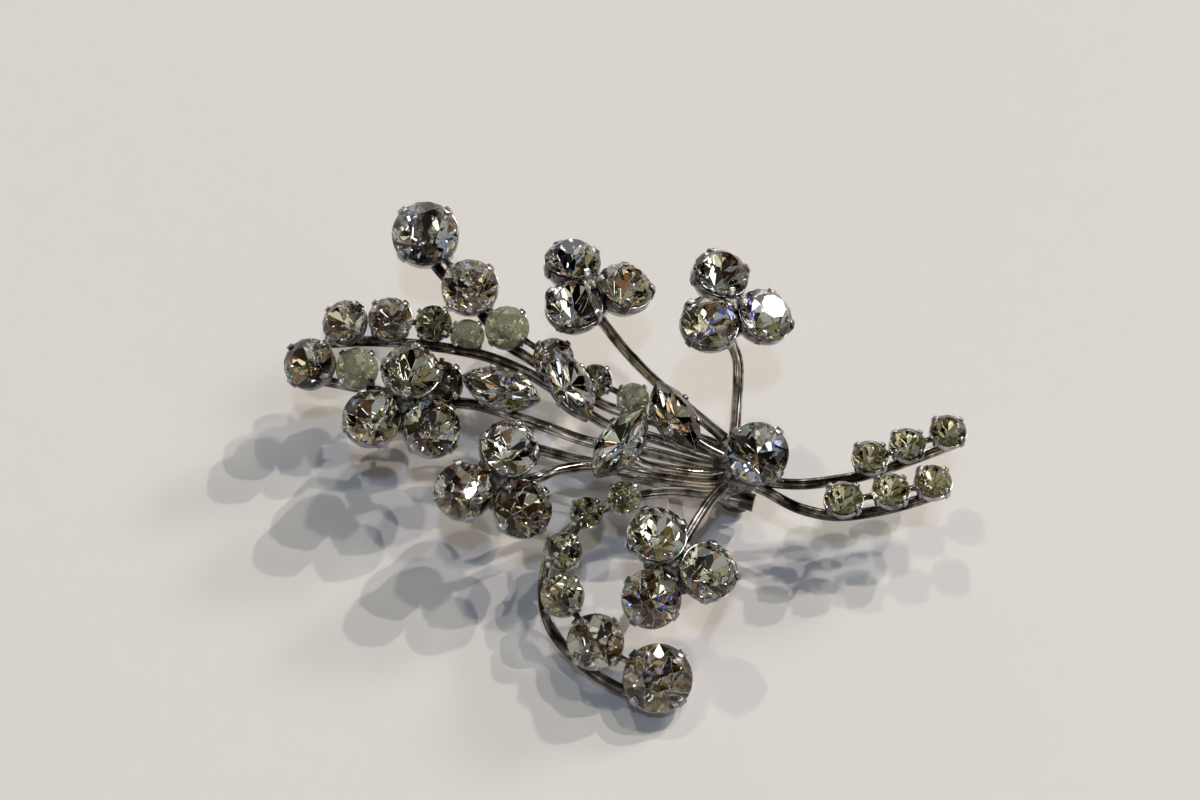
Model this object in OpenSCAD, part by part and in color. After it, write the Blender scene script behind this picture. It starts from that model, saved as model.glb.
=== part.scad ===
// Spray brooch: claw-set crystals on wires that run out from one solder joint.
// It lies on its back. X runs along the brooch, Y away from the viewer and Z up.
// The origin is on the surface, under the middle of the brooch. Lengths are in millimetres.

/* [Crystals] */
// Width of the flat table, as a share of the crystal
table_share = 0.48; // [0.42:0.01:0.54]
// Height of the crown above the girdle, as a share of the diameter
crown_share = 0.3; // [0.24:0.01:0.32]
// Depth of the point below the girdle, as a share of the diameter
point_share = 0.4; // [0.32:0.01:0.45]
// Thickness of the girdle, as a share of the diameter
girdle_share = 0.03; // [0.02:0.01:0.05]
// Diameter of a trefoil's crystals
trefoil_d = 5.6; // [5.2:0.1:5.7]
// Length of a leaf's crystal
leaf_l = 8; // [7.4:0.1:8.4]
// Width of a leaf's crystal
leaf_w = 4; // [3.6:0.1:4.2]

/* [Settings] */
// Free gap between a crystal and its setting
seat_gap = 0.06; // [0.04:0.01:0.08]
// Thickness of a setting's wall at its rim
wall = 0.24; // [0.2:0.02:0.3]
// Metal under a crystal's point
floor_t = 0.45; // [0.35:0.05:0.5]
// Width of a setting's foot, as a share of its rim
foot_share = 0.7; // [0.6:0.05:0.8]
// Lean of a prong over its crystal, in degrees
prong_lean = 17; // [14:1:20]

/* [Wires] */
// Diameter of the wires
wire_d = 1.2; // [1:0.1:1.2]
// Diameter of the short links between settings
link_d = 0.8; // [0.6:0.1:0.9]
// Diameter of the posts and solder between a wire and its settings
post_d = 1.5; // [1.2:0.1:1.6]

/* [Trefoils] */
// Distance of each crystal from its trefoil's axis
trefoil_r = 3.8; // [3.7:0.05:3.9]
// Spread of the three crystals' axes from each other, in degrees
trefoil_splay = 8; // [6:1:12]

/* [Pin back] */
// Diameter of the bar's tube
bar_d = 2; // [1.7:0.1:2]
// Height of the bar's axis above the surface
bar_z = 4.2; // [4:0.1:4.4]
// Diameter of the pin wire
pin_d = 0.9; // [0.8:0.1:1]

/* [Hidden] */
$fn = 40;

METAL = [0.62, 0.61, 0.58];
CRYSTAL = [0.86, 0.87, 0.82];

// Share of the crystal where the crown's and the point's middle corners lie
crown_mid = 0.8;
point_mid = 0.42;
wire_r = wire_d / 2;
// Free gap between the metal of two branches
branch_gap = 0.05;

// Round crystals: the girdle's centre, the diameter, and the lean of the axis from straight up
// towards a compass angle, where 0 is +X and 90 is +Y
// x, y, z, diameter, lean, towards
SPRAY_A = [
  [-21.5, 24, 14, 6.7, 15, 270],
  [-16.5, 17.5, 13.5, 5.6, 15, 280],
  [-12.5, 13, 12.5, 4.2, 15, 270],
  [-7.5, 9.5, 12, 3.8, 15, 270],
  [-3, 7, 11.5, 3, 15, 270],
  [1, 5, 11, 2.9, 15, 270],
];
SPRAY_B = [
  [-30, 12.7, 14, 4.4, 25, 205],
  [-25, 13.5, 13.5, 4.2, 12, 270],
  [-20.5, 13.5, 12.5, 3.4, 20, 240],
  [-16.8, 12.8, 11.1, 3.1, 15, 270],
];
SPRAY_C = [
  [-33.7, 8.8, 12, 5, 20, 225],
  [-28.5, 8.5, 11.5, 4, 15, 270],
  [-19.5, 7, 11, 4.2, 15, 270],
];
SPRAY_D = [
  [0, -6.5, 10, 3, 25, 250],
  [-4, -8, 9.5, 2.9, 20, 240],
  [-6.5, -12, 8.5, 3.5, 20, 240],
  [-6.5, -16.5, 7.2, 4, 20, 240],
  [-3, -21, 5.4, 5.4, 20, 260],
  [3.5, -24.5, 3.95, 6.7, 20, 270],
];
TAILS = [
  [26, -2, 11, 3.4, 5, 90],
  [30, -0.5, 11, 3.4, 5, 90],
  [34.4, 1.1, 11, 3.4, 5, 60],
  [23, -7, 11, 3.6, 5, 90],
  [28, -6, 11, 3.5, 5, 90],
  [32.5, -5, 11, 3.5, 5, 60],
];
CENTRE = [14, -3, 13.5, 6, 20, 270];

// Pointed oval crystals: the same columns, with the compass angle of the long axis for the diameter
// x, y, z, turn, lean, towards
LEAVES = [
  [-13, 5.5, 12.4, 343, 15, 270],
  [-5.5, 4.5, 15, 296, 15, 0],
  [5.5, 1.5, 13.5, 298, 12, 0],
  [-0.5, -1.5, 13, 50, 20, 220],
];

// Trefoils: the centre of the three girdles, the compass angle of the first crystal, and how
// their disc leans and how their settings lean on it
// x, y, z, turn, disc lean, towards, setting lean, towards
TREFOILS = [
  [-23, 2.5, 14, 80, 25, 270, 12, 315],
  [-3.5, 17, 15, 1, 14, 58, 14, 58],
  [11.5, 12, 19, 348, 16, 5, 16, 5],
  [-13, -6.5, 13.5, 73, 27, 270, 16, 306],
  [5, -16.5, 13.5, 355, 27, 270, 14, 310],
];

// Routes of the wires, each from its tip to the hub
// x, y, z
WIRE_A = [
  [-21, 22.2, 11.4], [-19, 19.8, 11], [-16.4, 17.2, 10.7], [-14.6, 14.8, 10.4], [-13, 12.6, 10.1],
  [-9, 9.8, 9.8], [-2.2, 5.2, 9.3], [3, 3.4, 9.1], [8, 1.3, 9], [10.5, 0.1, 9.1],
];
WIRE_B = [
  [-31.5, 11.5, 11.6], [-27, 11.9, 11.3], [-22, 11.7, 10.9], [-18, 11.3, 10.5], [-14, 10.5, 10],
  [-9, 8.2, 9.4], [-2.2, 3.2, 8.9], [3, 1.5, 8.7], [8, -0.3, 8.6], [10.5, -1.1, 8.7],
];
WIRE_C = [
  [-33.5, 8.4, 9.4], [-28.5, 7.4, 9.2], [-23.5, 6.4, 9], [-19.5, 5.8, 9], [-16.5, 5.2, 9.5],
  [-13, 4, 9.8], [-8, 2.3, 9.4], [-3.5, 0.8, 8.9], [3, -0.3, 8.6], [8, -1.7, 8.5], [10.5, -2.2, 8.5],
];
WIRE_D = [
  [2, -25.4, 1.4], [-0.4, -24.5, 1.3], [-3.6, -22.6, 1.9], [-6.8, -19.8, 3.1], [-8.3, -16.8, 4.4],
  [-8.3, -13, 5.4], [-6.8, -9.6, 6.4], [-2.5, -6.4, 7.2], [1.5, -4.9, 7.4], [5.2, -4.5, 7.4],
  [9, -4.9, 7.4], [11, -4.3, 7.7],
];
WIRE_TAIL_UPPER = [
  [34.8, 0.5, 8.8], [30, -1.5, 8.8], [26, -3, 8.8], [22.4, -3.8, 8.8], [18.5, -4.3, 8.9],
  [15, -4, 9], [12, -3, 8.9],
];
WIRE_TAIL_LOWER = [
  [32.6, -5.6, 8.8], [28.1, -7, 8.6], [22.8, -7.9, 8.6], [18.6, -6.9, 8.3], [15.2, -4.9, 8.3],
  [12, -3.2, 8.6],
];
WIRE_TREFOIL_1 = [[-23, 4, 11], [-20.3, 4.7, 10.4], [-17.8, 5.1, 9.8], [-15, 4.8, 9.7]];
WIRE_TREFOIL_2 = [
  [-3.5, 16.5, 11.9], [-2.2, 14.2, 11.5], [0.5, 10.5, 11.1], [3.8, 6.8, 10.8], [8, 3, 10.5],
  [10.7, 0.6, 10.1],
];
WIRE_TREFOIL_3 = [
  [10.4, 11.6, 16.6], [11.6, 9.4, 14.6], [12.2, 7.8, 13], [12.1, 5, 11], [11.9, 2.4, 9.9], [11.6, 0, 9.2],
];
WIRE_TREFOIL_4 = [
  [-13, -5.1, 10.7], [-9.5, -4.5, 10.5], [-7, -3.3, 10.1], [-3.6, -2.5, 9.6], [0, -3, 9.2],
  [4, -3.6, 9.1], [8.5, -4, 8.7], [11, -3.8, 8.6],
];
WIRE_TREFOIL_5 = [[5, -15.1, 10.7], [6.5, -11.5, 10.1], [9.2, -6.4, 9.4], [11.4, -4, 9]];
WIRE_LEAF_3 = [[6.2, 0.6, 11.6], [8.3, -0.6, 10.6], [10.6, -1.4, 9.6]];
WIRE_LEAF_4 = [[0.4, -1.8, 11.2], [2, -2.9, 10.8], [4.5, -3.4, 10.6], [8.5, -3.6, 10], [11, -2.8, 9.4]];

// Lumps of solder at the hub
// x, y, z, radius
SOLDER = [
  [11, -0.2, 9.1, 1.4],
  [11, -2, 8.9, 1.6],
  [11.4, -3.8, 8.6, 1.5],
  [13.3, -3.2, 8.7, 1.6],
];

// Pin back: ends of the bar
// x, y
bar_right = [14, -4];
bar_left = [-14, 3.9];
// Shares of the bar's length where its tube ends, and where the hinge and the catch stand
tube_share = 0.5;
hinge_share = 0.08;
catch_share = 0.93;
// Height of the middle of the hinge and the catch, and how far both and the pin wire stand
// towards +Y of the bar
foot_z = 1.5;
foot_beside = 2.5;
pin_beside = 1.6;

// Vectors and rows

function unit(v) = v / norm(v);
function centre_of(row) = [row[0], row[1], row[2]];
function mix(a, b, t) = a * (1 - t) + b * t;
// Axis of a setting that leans from straight up towards a compass angle
function axis_of(row) = [
  sin(row[4]) * cos(row[5]),
  sin(row[4]) * sin(row[5]),
  cos(row[4]),
];
// Depth of a setting's foot below the girdle's middle, for a crystal of width d
function foot_depth(d) = d * (girdle_share / 2 + point_share) + floor_t;
function foot_of(row, d) = centre_of(row) - axis_of(row) * (foot_depth(d) - 0.2);

// Turns a piece so that its axis leans as its row says, with the turn kept as seen from above
module lean_as(row) {
  translate(centre_of(row))
    rotate([0, 0, row[5]])
      rotate([0, row[4], 0])
        rotate([0, 0, -row[5]])
          children();
}

module rod(from, to, d) {
  v = to - from;
  translate(from)
    rotate([0, acos(v[2] / norm(v)), atan2(v[1], v[0])])
      cylinder(h = norm(v), d = d);
}

// Skins over rings of points

function ring_faces(rings, sides) = [
  for (i = [0:rings - 2], k = [0:sides - 1])
    let (a = i * sides + k, b = i * sides + (k + 1) % sides)
      each [[a, a + sides, b], [b, a + sides, b + sides]]
];

// Closed skin over rings that run anticlockwise as seen from the last ring
module skin(rings) {
  sides = len(rings[0]);
  first = [for (k = [0:sides - 1]) k];
  last = [for (k = [sides - 1:-1:0]) (len(rings) - 1) * sides + k];
  polyhedron(
    points = [for (ring = rings) each ring],
    faces = concat(ring_faces(len(rings), sides), [first, last])
  );
}

function level(outline, share, z) = [for (p = outline) [p[0] * share, p[1] * share, z]];

// Wires swept along smooth curves through their route points

WIRE_SIDES = 12;
WIRE_STEPS = 2;

function curve_point(a, b, c, d, t) =
  0.5 * (2 * b + (c - a) * t + (2 * a - 5 * b + 4 * c - d) * t * t + (3 * b - a - 3 * c + d) * t * t * t);

function smooth(route) =
  let (n = len(route))
    [
      for (i = [0:n - 2], s = [0:WIRE_STEPS - 1])
        curve_point(
          route[max(i - 1, 0)], route[i], route[i + 1], route[min(i + 2, n - 1)], s / WIRE_STEPS
        ),
      route[n - 1],
    ];

function wire_ring(at, along, r) =
  let (side = unit(cross([0.1, 0.2, 1], along)), up = cross(along, side))
    [
      for (k = [0:WIRE_SIDES - 1])
        let (turn = 360 * k / WIRE_SIDES)
          at + r * (side * cos(turn) + up * sin(turn))
    ];

module wire(route, r = wire_r) {
  path = smooth(route);
  n = len(path);
  skin([
    for (i = [0:n - 1])
      wire_ring(path[i], unit(path[min(i + 1, n - 1)] - path[max(i - 1, 0)]), r)
  ]);
}

// Crystals

function round_outline(d) = [for (k = [0:15]) d / 2 * [cos(22.5 * k), sin(22.5 * k)]];

// Pointed oval between two arcs, with its points at both ends of X
function leaf_outline(l, w) =
  let (r = (l * l + w * w) / (4 * w), half = asin(l / 2 / r), drop = r - w / 2)
    [
      for (k = [0:15])
        let (turn = 90 - half + half * (k < 8 ? k : 16 - k) / 4, y = r * sin(turn) - drop)
          [r * cos(turn), k < 8 ? y : -y]
    ];

function crown_rise(d) = crown_share * d * (1 - crown_mid * cos(22.5)) / (1 - table_share);
function point_drop(d) = point_share * d * (1 - point_mid * cos(22.5));

// Cut crystal over a girdle outline of 16 points, for a width d: a table with 8 sides, 8 star,
// 8 main and 16 edge facets on the crown, and 8 main and 16 edge facets down to the point
module crystal(outline, d) {
  g = girdle_share * d / 2;
  corners = [for (k = [0:2:15]) outline[k]];
  middles = [for (k = [1:2:15]) outline[k]];
  points = concat(
    level(corners, table_share, g + crown_share * d),
    level(middles, crown_mid, g + crown_rise(d)),
    level(outline, 1, g),
    level(outline, 1, -g),
    level(middles, point_mid, -g - point_drop(d)),
    [[0, 0, -g - point_share * d]]
  );
  TABLE = 0;
  CROWN = 8;
  TOP = 16;
  BOTTOM = 32;
  POINT = 48;
  TIP = 56;
  faces = concat(
    [[for (j = [7:-1:0]) TABLE + j]],
    [
      for (j = [0:7])
        let (next = (j + 1) % 8, last = (j + 7) % 8, k = 2 * j, k1 = k + 1, k2 = (k + 2) % 16)
          each [
            [TABLE + j, TABLE + next, CROWN + j],
            [TABLE + j, TOP + k, CROWN + last],
            [TABLE + j, CROWN + j, TOP + k],
            [CROWN + j, TOP + k1, TOP + k],
            [CROWN + j, TOP + k2, TOP + k1],
            [POINT + j, BOTTOM + k, BOTTOM + k1],
            [POINT + j, BOTTOM + k1, BOTTOM + k2],
            [TIP, BOTTOM + k, POINT + j],
            [TIP, POINT + last, BOTTOM + k],
          ]
    ],
    [
      for (k = [0:15])
        let (k1 = (k + 1) % 16)
          each [[TOP + k, TOP + k1, BOTTOM + k1], [TOP + k, BOTTOM + k1, BOTTOM + k]]
    ]
  );
  polyhedron(points = points, faces = faces);
}

module round_crystal(row) {
  color(CRYSTAL) lean_as(row) crystal(round_outline(row[3]), row[3]);
}

module leaf_crystal(row) {
  color(CRYSTAL) lean_as(row) rotate([0, 0, row[3]]) crystal(leaf_outline(leaf_l, leaf_w), leaf_w);
}

// Settings: a body and its prongs are added first, and the seats are cut out last

module prong(d, reach) {
  r = 0.11 + 0.045 * d;
  h = foot_depth(d) * 0.45 + girdle_share * d / 2 + crown_share * d * 0.55;
  translate([reach + 0.1 + r * 0.1, 0, -foot_depth(d) * 0.45])
    rotate([0, -prong_lean, 0])
      rotate_extrude($fn = 24)
        polygon([[0, 0], [r, 0], [r, h - r], [r * 0.87, h - r / 2], [r / 2, h - r * 0.13], [0, h]]);
}

module round_body(d, first_prong) {
  rim = d / 2 + seat_gap + wall;
  foot = foot_depth(d);
  lip = girdle_share * d / 2 + 0.05;
  rotate_extrude()
    polygon([[0, -foot], [rim * foot_share, -foot], [rim, -foot * 0.45], [rim, lip], [0, lip]]);
  for (k = [0:3])
    rotate([0, 0, first_prong + 90 * k]) prong(d, d / 2 + seat_gap);
}

module round_seat(d) {
  r = d / 2;
  g = girdle_share * d / 2;
  rotate_extrude()
    polygon([
      [0, -g - point_share * d - seat_gap * 1.6],
      [r * point_mid + seat_gap * 0.8, -g - point_drop(d) - seat_gap],
      [r + seat_gap, -g - seat_gap / 2],
      [r + seat_gap, g + seat_gap / 2],
      [r * crown_mid + seat_gap * 0.8, g + crown_rise(d) + seat_gap],
      [r * table_share + seat_gap, g + crown_share * d + seat_gap],
      [0, g + crown_share * d + seat_gap],
    ]);
}

module leaf_body() {
  grow = 2 * (seat_gap + wall);
  rim = leaf_outline(leaf_l + grow * 1.4, leaf_w + grow);
  foot = foot_depth(leaf_w);
  skin([
    level(rim, foot_share, -foot),
    level(rim, 1, -foot * 0.4),
    level(rim, 1, leaf_w * girdle_share / 2),
  ]);
  for (x = [-1, 1], y = [-1, 1])
    translate([x * leaf_l * 0.2, y * leaf_w * 0.44, 0])
      rotate([0, 0, y * 90])
        prong(leaf_w, -0.05);
}

module leaf_seat() {
  outline = leaf_outline(leaf_l + 2.8 * seat_gap, leaf_w + 2 * seat_gap);
  g = girdle_share * leaf_w / 2;
  skin([
    level(outline, 0.02, -g - point_share * leaf_w - seat_gap * 1.3),
    level(outline, point_mid, -g - point_drop(leaf_w) - seat_gap),
    level(outline, 1, -g - seat_gap / 2),
    level(outline, 1, g + seat_gap / 2),
    level(outline, crown_mid, g + crown_rise(leaf_w) + seat_gap),
    level(outline, table_share, g + crown_share * leaf_w + seat_gap),
  ]);
}

module round_bodies(rows) {
  for (row = rows) lean_as(row) round_body(row[3], 45);
}

module round_seats(rows) {
  for (row = rows) lean_as(row) round_seat(row[3]);
}

// Links between the neighbours of a chain, below the girdles
module links(rows) {
  for (i = [0:len(rows) - 2])
    rod(
      centre_of(rows[i]) - axis_of(rows[i]) * 0.2 * rows[i][3],
      centre_of(rows[i + 1]) - axis_of(rows[i + 1]) * 0.2 * rows[i + 1][3],
      link_d
    );
}

// Solder from the foot of each setting to the route's point that stands nearest to it
module posts(rows, route) {
  for (row = rows) {
    foot = foot_of(row, row[3]);
    path = smooth(route);
    near = min([for (p = path) norm(p - foot)]);
    to = [for (p = path) if (norm(p - foot) == near) p][0];
    rod(foot, to, post_d);
  }
}

module leaf_body_at(row) {
  lean_as(row) rotate([0, 0, row[3]]) leaf_body();
}

module leaf_seat_at(row) {
  lean_as(row) rotate([0, 0, row[3]]) leaf_seat();
}

// Trefoils

function petal_centre(row, i) =
  let (turn = row[3] + 120 * i - row[5], down = trefoil_r * cos(turn), across = trefoil_r * sin(turn))
    centre_of(row)
      + down * [cos(row[4]) * cos(row[5]), cos(row[4]) * sin(row[5]), -sin(row[4])]
      + across * [-sin(row[5]), cos(row[5]), 0];

module petal(row, i) {
  lean_as([each petal_centre(row, i), 0, row[6], row[7]])
    rotate([0, 0, row[3] + 120 * i])
      rotate([0, trefoil_splay, 0])
        children();
}

module petal_crystal(trefoil, i) {
  color(CRYSTAL) petal(TREFOILS[trefoil], i) crystal(round_outline(trefoil_d), trefoil_d);
}

module trefoil_body(row) {
  for (i = [0:2]) petal(row, i) round_body(trefoil_d, 0);
  lean_as(row) translate([0, 0, -foot_depth(trefoil_d) - 0.3]) cylinder(h = 1, r = trefoil_r * 0.72);
}

module trefoil_seats(row) {
  for (i = [0:2]) petal(row, i) round_seat(trefoil_d);
}

// Hub

module solder(grow = 0) {
  for (lump = SOLDER) translate(centre_of(lump)) sphere(r = lump[3] + grow);
}

// Takes the hub's solder out of a branch, so that the branch ends at its surface
module up_to_hub() {
  difference() {
    children();
    solder(branch_gap);
  }
}

module trefoil_setting(trefoil, route) {
  color(METAL) up_to_hub() difference() {
    union() {
      trefoil_body(TREFOILS[trefoil]);
      wire(route);
    }
    trefoil_seats(TREFOILS[trefoil]);
  }
}

// Metal sub-parts

module hub_setting() {
  color(METAL) difference() {
    union() {
      solder();
      round_bodies([CENTRE]);
      rod([12.2, -2.6, 9], foot_of(CENTRE, CENTRE[3]), post_d + 1);
      leaf_body_at(LEAVES[2]);
      leaf_body_at(LEAVES[3]);
      wire(WIRE_LEAF_3);
      wire(WIRE_LEAF_4, wire_r * 0.9);
    }
    round_seats([CENTRE]);
    leaf_seat_at(LEAVES[2]);
    leaf_seat_at(LEAVES[3]);
  }
}

module spray_a_setting() {
  color(METAL) up_to_hub() difference() {
    union() {
      round_bodies(SPRAY_A);
      links(SPRAY_A);
      posts(SPRAY_A, WIRE_A);
      wire(WIRE_A);
    }
    round_seats(SPRAY_A);
  }
}

module spray_b_setting() {
  color(METAL) up_to_hub() difference() {
    union() {
      round_bodies(SPRAY_B);
      links(SPRAY_B);
      posts(SPRAY_B, WIRE_B);
      leaf_body_at(LEAVES[1]);
      rod(foot_of(LEAVES[1], leaf_w), [-5.6, 5.8, 9.2], post_d);
      wire(WIRE_B);
    }
    round_seats(SPRAY_B);
    leaf_seat_at(LEAVES[1]);
  }
}

module spray_c_setting() {
  color(METAL) up_to_hub() difference() {
    union() {
      round_bodies(SPRAY_C);
      links([SPRAY_C[0], SPRAY_C[1]]);
      posts(SPRAY_C, WIRE_C);
      leaf_body_at(LEAVES[0]);
      rod(foot_of(LEAVES[0], leaf_w), [-13, 4, 9.8], post_d);
      wire(WIRE_C);
      trefoil_body(TREFOILS[0]);
      wire(WIRE_TREFOIL_1);
      rod([-19.8, 6.2, 9], [-19.5, 10.3, 10.4], 0.5);
    }
    round_seats(SPRAY_C);
    leaf_seat_at(LEAVES[0]);
    trefoil_seats(TREFOILS[0]);
  }
}

module spray_d_setting() {
  color(METAL) up_to_hub() difference() {
    union() {
      round_bodies(SPRAY_D);
      links(SPRAY_D);
      posts(SPRAY_D, WIRE_D);
      wire(WIRE_D);
    }
    round_seats(SPRAY_D);
  }
}

module tail_setting() {
  color(METAL) up_to_hub() difference() {
    union() {
      round_bodies(TAILS);
      links([TAILS[0], TAILS[1], TAILS[2]]);
      links([TAILS[3], TAILS[4], TAILS[5]]);
      posts([TAILS[0], TAILS[1], TAILS[2]], WIRE_TAIL_UPPER);
      posts([TAILS[3], TAILS[4], TAILS[5]], WIRE_TAIL_LOWER);
      wire(WIRE_TAIL_UPPER);
      wire(WIRE_TAIL_LOWER);
    }
    round_seats(TAILS);
  }
}

module trefoil_2_setting() { trefoil_setting(1, WIRE_TREFOIL_2); }
module trefoil_3_setting() { trefoil_setting(2, WIRE_TREFOIL_3); }
module trefoil_4_setting() { trefoil_setting(3, WIRE_TREFOIL_4); }
module trefoil_5_setting() { trefoil_setting(4, WIRE_TREFOIL_5); }

// Pin back

function on_bar(share, z, beside = 0) =
  let (along = unit(bar_left - bar_right), at = mix(bar_right, bar_left, share))
    [at[0] + along[1] * beside, at[1] - along[0] * beside, z];

// Round foot that lies across the bar's direction, with the leg that carries it
module bar_foot(share) {
  along = bar_left - bar_right;
  translate(on_bar(share, foot_z, foot_beside))
    rotate([0, 0, atan2(along[1], along[0])])
      rotate([90, 0, 0])
        cylinder(h = 4, d = 2 * foot_z, center = true);
  rod(on_bar(share, foot_z, foot_beside), on_bar(share, bar_z), 1.6);
}

module pin_back() {
  color(METAL) up_to_hub() union() {
    rod(on_bar(0, bar_z), on_bar(tube_share, bar_z), bar_d);
    rod(on_bar(tube_share, bar_z), on_bar(1, bar_z), bar_d * 0.6);
    rod(on_bar(0.11, bar_z), [11, -2.6, 8], bar_d * 0.9);
    bar_foot(hinge_share);
    bar_foot(catch_share);
    rod(on_bar(hinge_share, foot_z, pin_beside), on_bar(catch_share, foot_z, pin_beside), pin_d);
  }
}

// Crystals, one to a module

module centre_stone() { round_crystal(CENTRE); }
module spray_a_stone_1() { round_crystal(SPRAY_A[0]); }
module spray_a_stone_2() { round_crystal(SPRAY_A[1]); }
module spray_a_stone_3() { round_crystal(SPRAY_A[2]); }
module spray_a_stone_4() { round_crystal(SPRAY_A[3]); }
module spray_a_stone_5() { round_crystal(SPRAY_A[4]); }
module spray_a_stone_6() { round_crystal(SPRAY_A[5]); }
module spray_b_stone_1() { round_crystal(SPRAY_B[0]); }
module spray_b_stone_2() { round_crystal(SPRAY_B[1]); }
module spray_b_stone_3() { round_crystal(SPRAY_B[2]); }
module spray_b_stone_4() { round_crystal(SPRAY_B[3]); }
module spray_c_stone_1() { round_crystal(SPRAY_C[0]); }
module spray_c_stone_2() { round_crystal(SPRAY_C[1]); }
module spray_c_stone_3() { round_crystal(SPRAY_C[2]); }
module spray_d_stone_1() { round_crystal(SPRAY_D[0]); }
module spray_d_stone_2() { round_crystal(SPRAY_D[1]); }
module spray_d_stone_3() { round_crystal(SPRAY_D[2]); }
module spray_d_stone_4() { round_crystal(SPRAY_D[3]); }
module spray_d_stone_5() { round_crystal(SPRAY_D[4]); }
module spray_d_stone_6() { round_crystal(SPRAY_D[5]); }
module tail_stone_1() { round_crystal(TAILS[0]); }
module tail_stone_2() { round_crystal(TAILS[1]); }
module tail_stone_3() { round_crystal(TAILS[2]); }
module tail_stone_4() { round_crystal(TAILS[3]); }
module tail_stone_5() { round_crystal(TAILS[4]); }
module tail_stone_6() { round_crystal(TAILS[5]); }
module leaf_stone_1() { leaf_crystal(LEAVES[0]); }
module leaf_stone_2() { leaf_crystal(LEAVES[1]); }
module leaf_stone_3() { leaf_crystal(LEAVES[2]); }
module leaf_stone_4() { leaf_crystal(LEAVES[3]); }
module trefoil_1_stone_1() { petal_crystal(0, 0); }
module trefoil_1_stone_2() { petal_crystal(0, 1); }
module trefoil_1_stone_3() { petal_crystal(0, 2); }
module trefoil_2_stone_1() { petal_crystal(1, 0); }
module trefoil_2_stone_2() { petal_crystal(1, 1); }
module trefoil_2_stone_3() { petal_crystal(1, 2); }
module trefoil_3_stone_1() { petal_crystal(2, 0); }
module trefoil_3_stone_2() { petal_crystal(2, 1); }
module trefoil_3_stone_3() { petal_crystal(2, 2); }
module trefoil_4_stone_1() { petal_crystal(3, 0); }
module trefoil_4_stone_2() { petal_crystal(3, 1); }
module trefoil_4_stone_3() { petal_crystal(3, 2); }
module trefoil_5_stone_1() { petal_crystal(4, 0); }
module trefoil_5_stone_2() { petal_crystal(4, 1); }
module trefoil_5_stone_3() { petal_crystal(4, 2); }

hub_setting();
spray_a_setting();
spray_b_setting();
spray_c_setting();
spray_d_setting();
tail_setting();
trefoil_2_setting();
trefoil_3_setting();
trefoil_4_setting();
trefoil_5_setting();
pin_back();
centre_stone();
spray_a_stone_1();
spray_a_stone_2();
spray_a_stone_3();
spray_a_stone_4();
spray_a_stone_5();
spray_a_stone_6();
spray_b_stone_1();
spray_b_stone_2();
spray_b_stone_3();
spray_b_stone_4();
spray_c_stone_1();
spray_c_stone_2();
spray_c_stone_3();
spray_d_stone_1();
spray_d_stone_2();
spray_d_stone_3();
spray_d_stone_4();
spray_d_stone_5();
spray_d_stone_6();
tail_stone_1();
tail_stone_2();
tail_stone_3();
tail_stone_4();
tail_stone_5();
tail_stone_6();
leaf_stone_1();
leaf_stone_2();
leaf_stone_3();
leaf_stone_4();
trefoil_1_stone_1();
trefoil_1_stone_2();
trefoil_1_stone_3();
trefoil_2_stone_1();
trefoil_2_stone_2();
trefoil_2_stone_3();
trefoil_3_stone_1();
trefoil_3_stone_2();
trefoil_3_stone_3();
trefoil_4_stone_1();
trefoil_4_stone_2();
trefoil_4_stone_3();
trefoil_5_stone_1();
trefoil_5_stone_2();
trefoil_5_stone_3();
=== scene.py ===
"""Looks of a crystal spray brooch: foiled stones in claw cups on plated wires, on a pale table.

Everything is modelled in millimetres and settled into the frame, which is in metres.
"""

import logging
import math
import random
from dataclasses import dataclass, field
from enum import Enum
from typing import Any, Callable, ClassVar, Sequence

import bpy
from mathutils import Matrix, Vector


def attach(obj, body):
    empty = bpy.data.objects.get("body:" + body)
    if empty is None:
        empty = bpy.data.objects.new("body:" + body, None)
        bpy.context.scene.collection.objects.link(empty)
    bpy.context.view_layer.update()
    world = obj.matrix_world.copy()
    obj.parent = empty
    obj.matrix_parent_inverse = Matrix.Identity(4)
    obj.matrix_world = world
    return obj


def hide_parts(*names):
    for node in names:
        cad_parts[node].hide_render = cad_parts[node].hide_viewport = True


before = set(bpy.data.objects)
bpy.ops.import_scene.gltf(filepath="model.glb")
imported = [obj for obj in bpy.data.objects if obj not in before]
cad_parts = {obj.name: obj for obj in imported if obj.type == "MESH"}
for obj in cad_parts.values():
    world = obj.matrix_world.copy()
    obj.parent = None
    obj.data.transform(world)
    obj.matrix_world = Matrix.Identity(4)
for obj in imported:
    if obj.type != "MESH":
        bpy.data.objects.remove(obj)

LOG = logging.getLogger("brooch")
MM = 0.001
BODY = "root"
UP = Vector((0, 0, 1))
# The facet attribute that picks a foil tone: aged foil and painted reflection.
FACET = "facet_age_and_reflection"
# A face looks one way when its normal reaches at least this far that way
FACING = 0.99

Point = tuple[float, float, float]
Route = Sequence[Sequence[float]]
Stops = Sequence[tuple[float, str]]
Steps = Sequence[tuple[Point, float]]
Piece = bpy.types.Object
Tree = bpy.types.NodeTree
Socket = bpy.types.NodeSocket
FaceTest = Callable[[bpy.types.MeshPolygon], bool]


# Bench work: small steps that every sub-assembly uses


def deselect() -> None:
    """Leaves nothing selected, so that an operator acts only on what is picked next."""
    bpy.ops.object.select_all(action="DESELECT")


def make_active(piece: Piece) -> None:
    """Selects one piece alone and makes it the active one.

    Args:
        piece: The piece.
    """
    deselect()
    piece.select_set(True)
    bpy.context.view_layer.objects.active = piece


def settled() -> Piece:
    """Gives the piece that was just added, with its place and size worked into its mesh."""
    bpy.ops.object.transform_apply()
    return bpy.context.object


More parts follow.
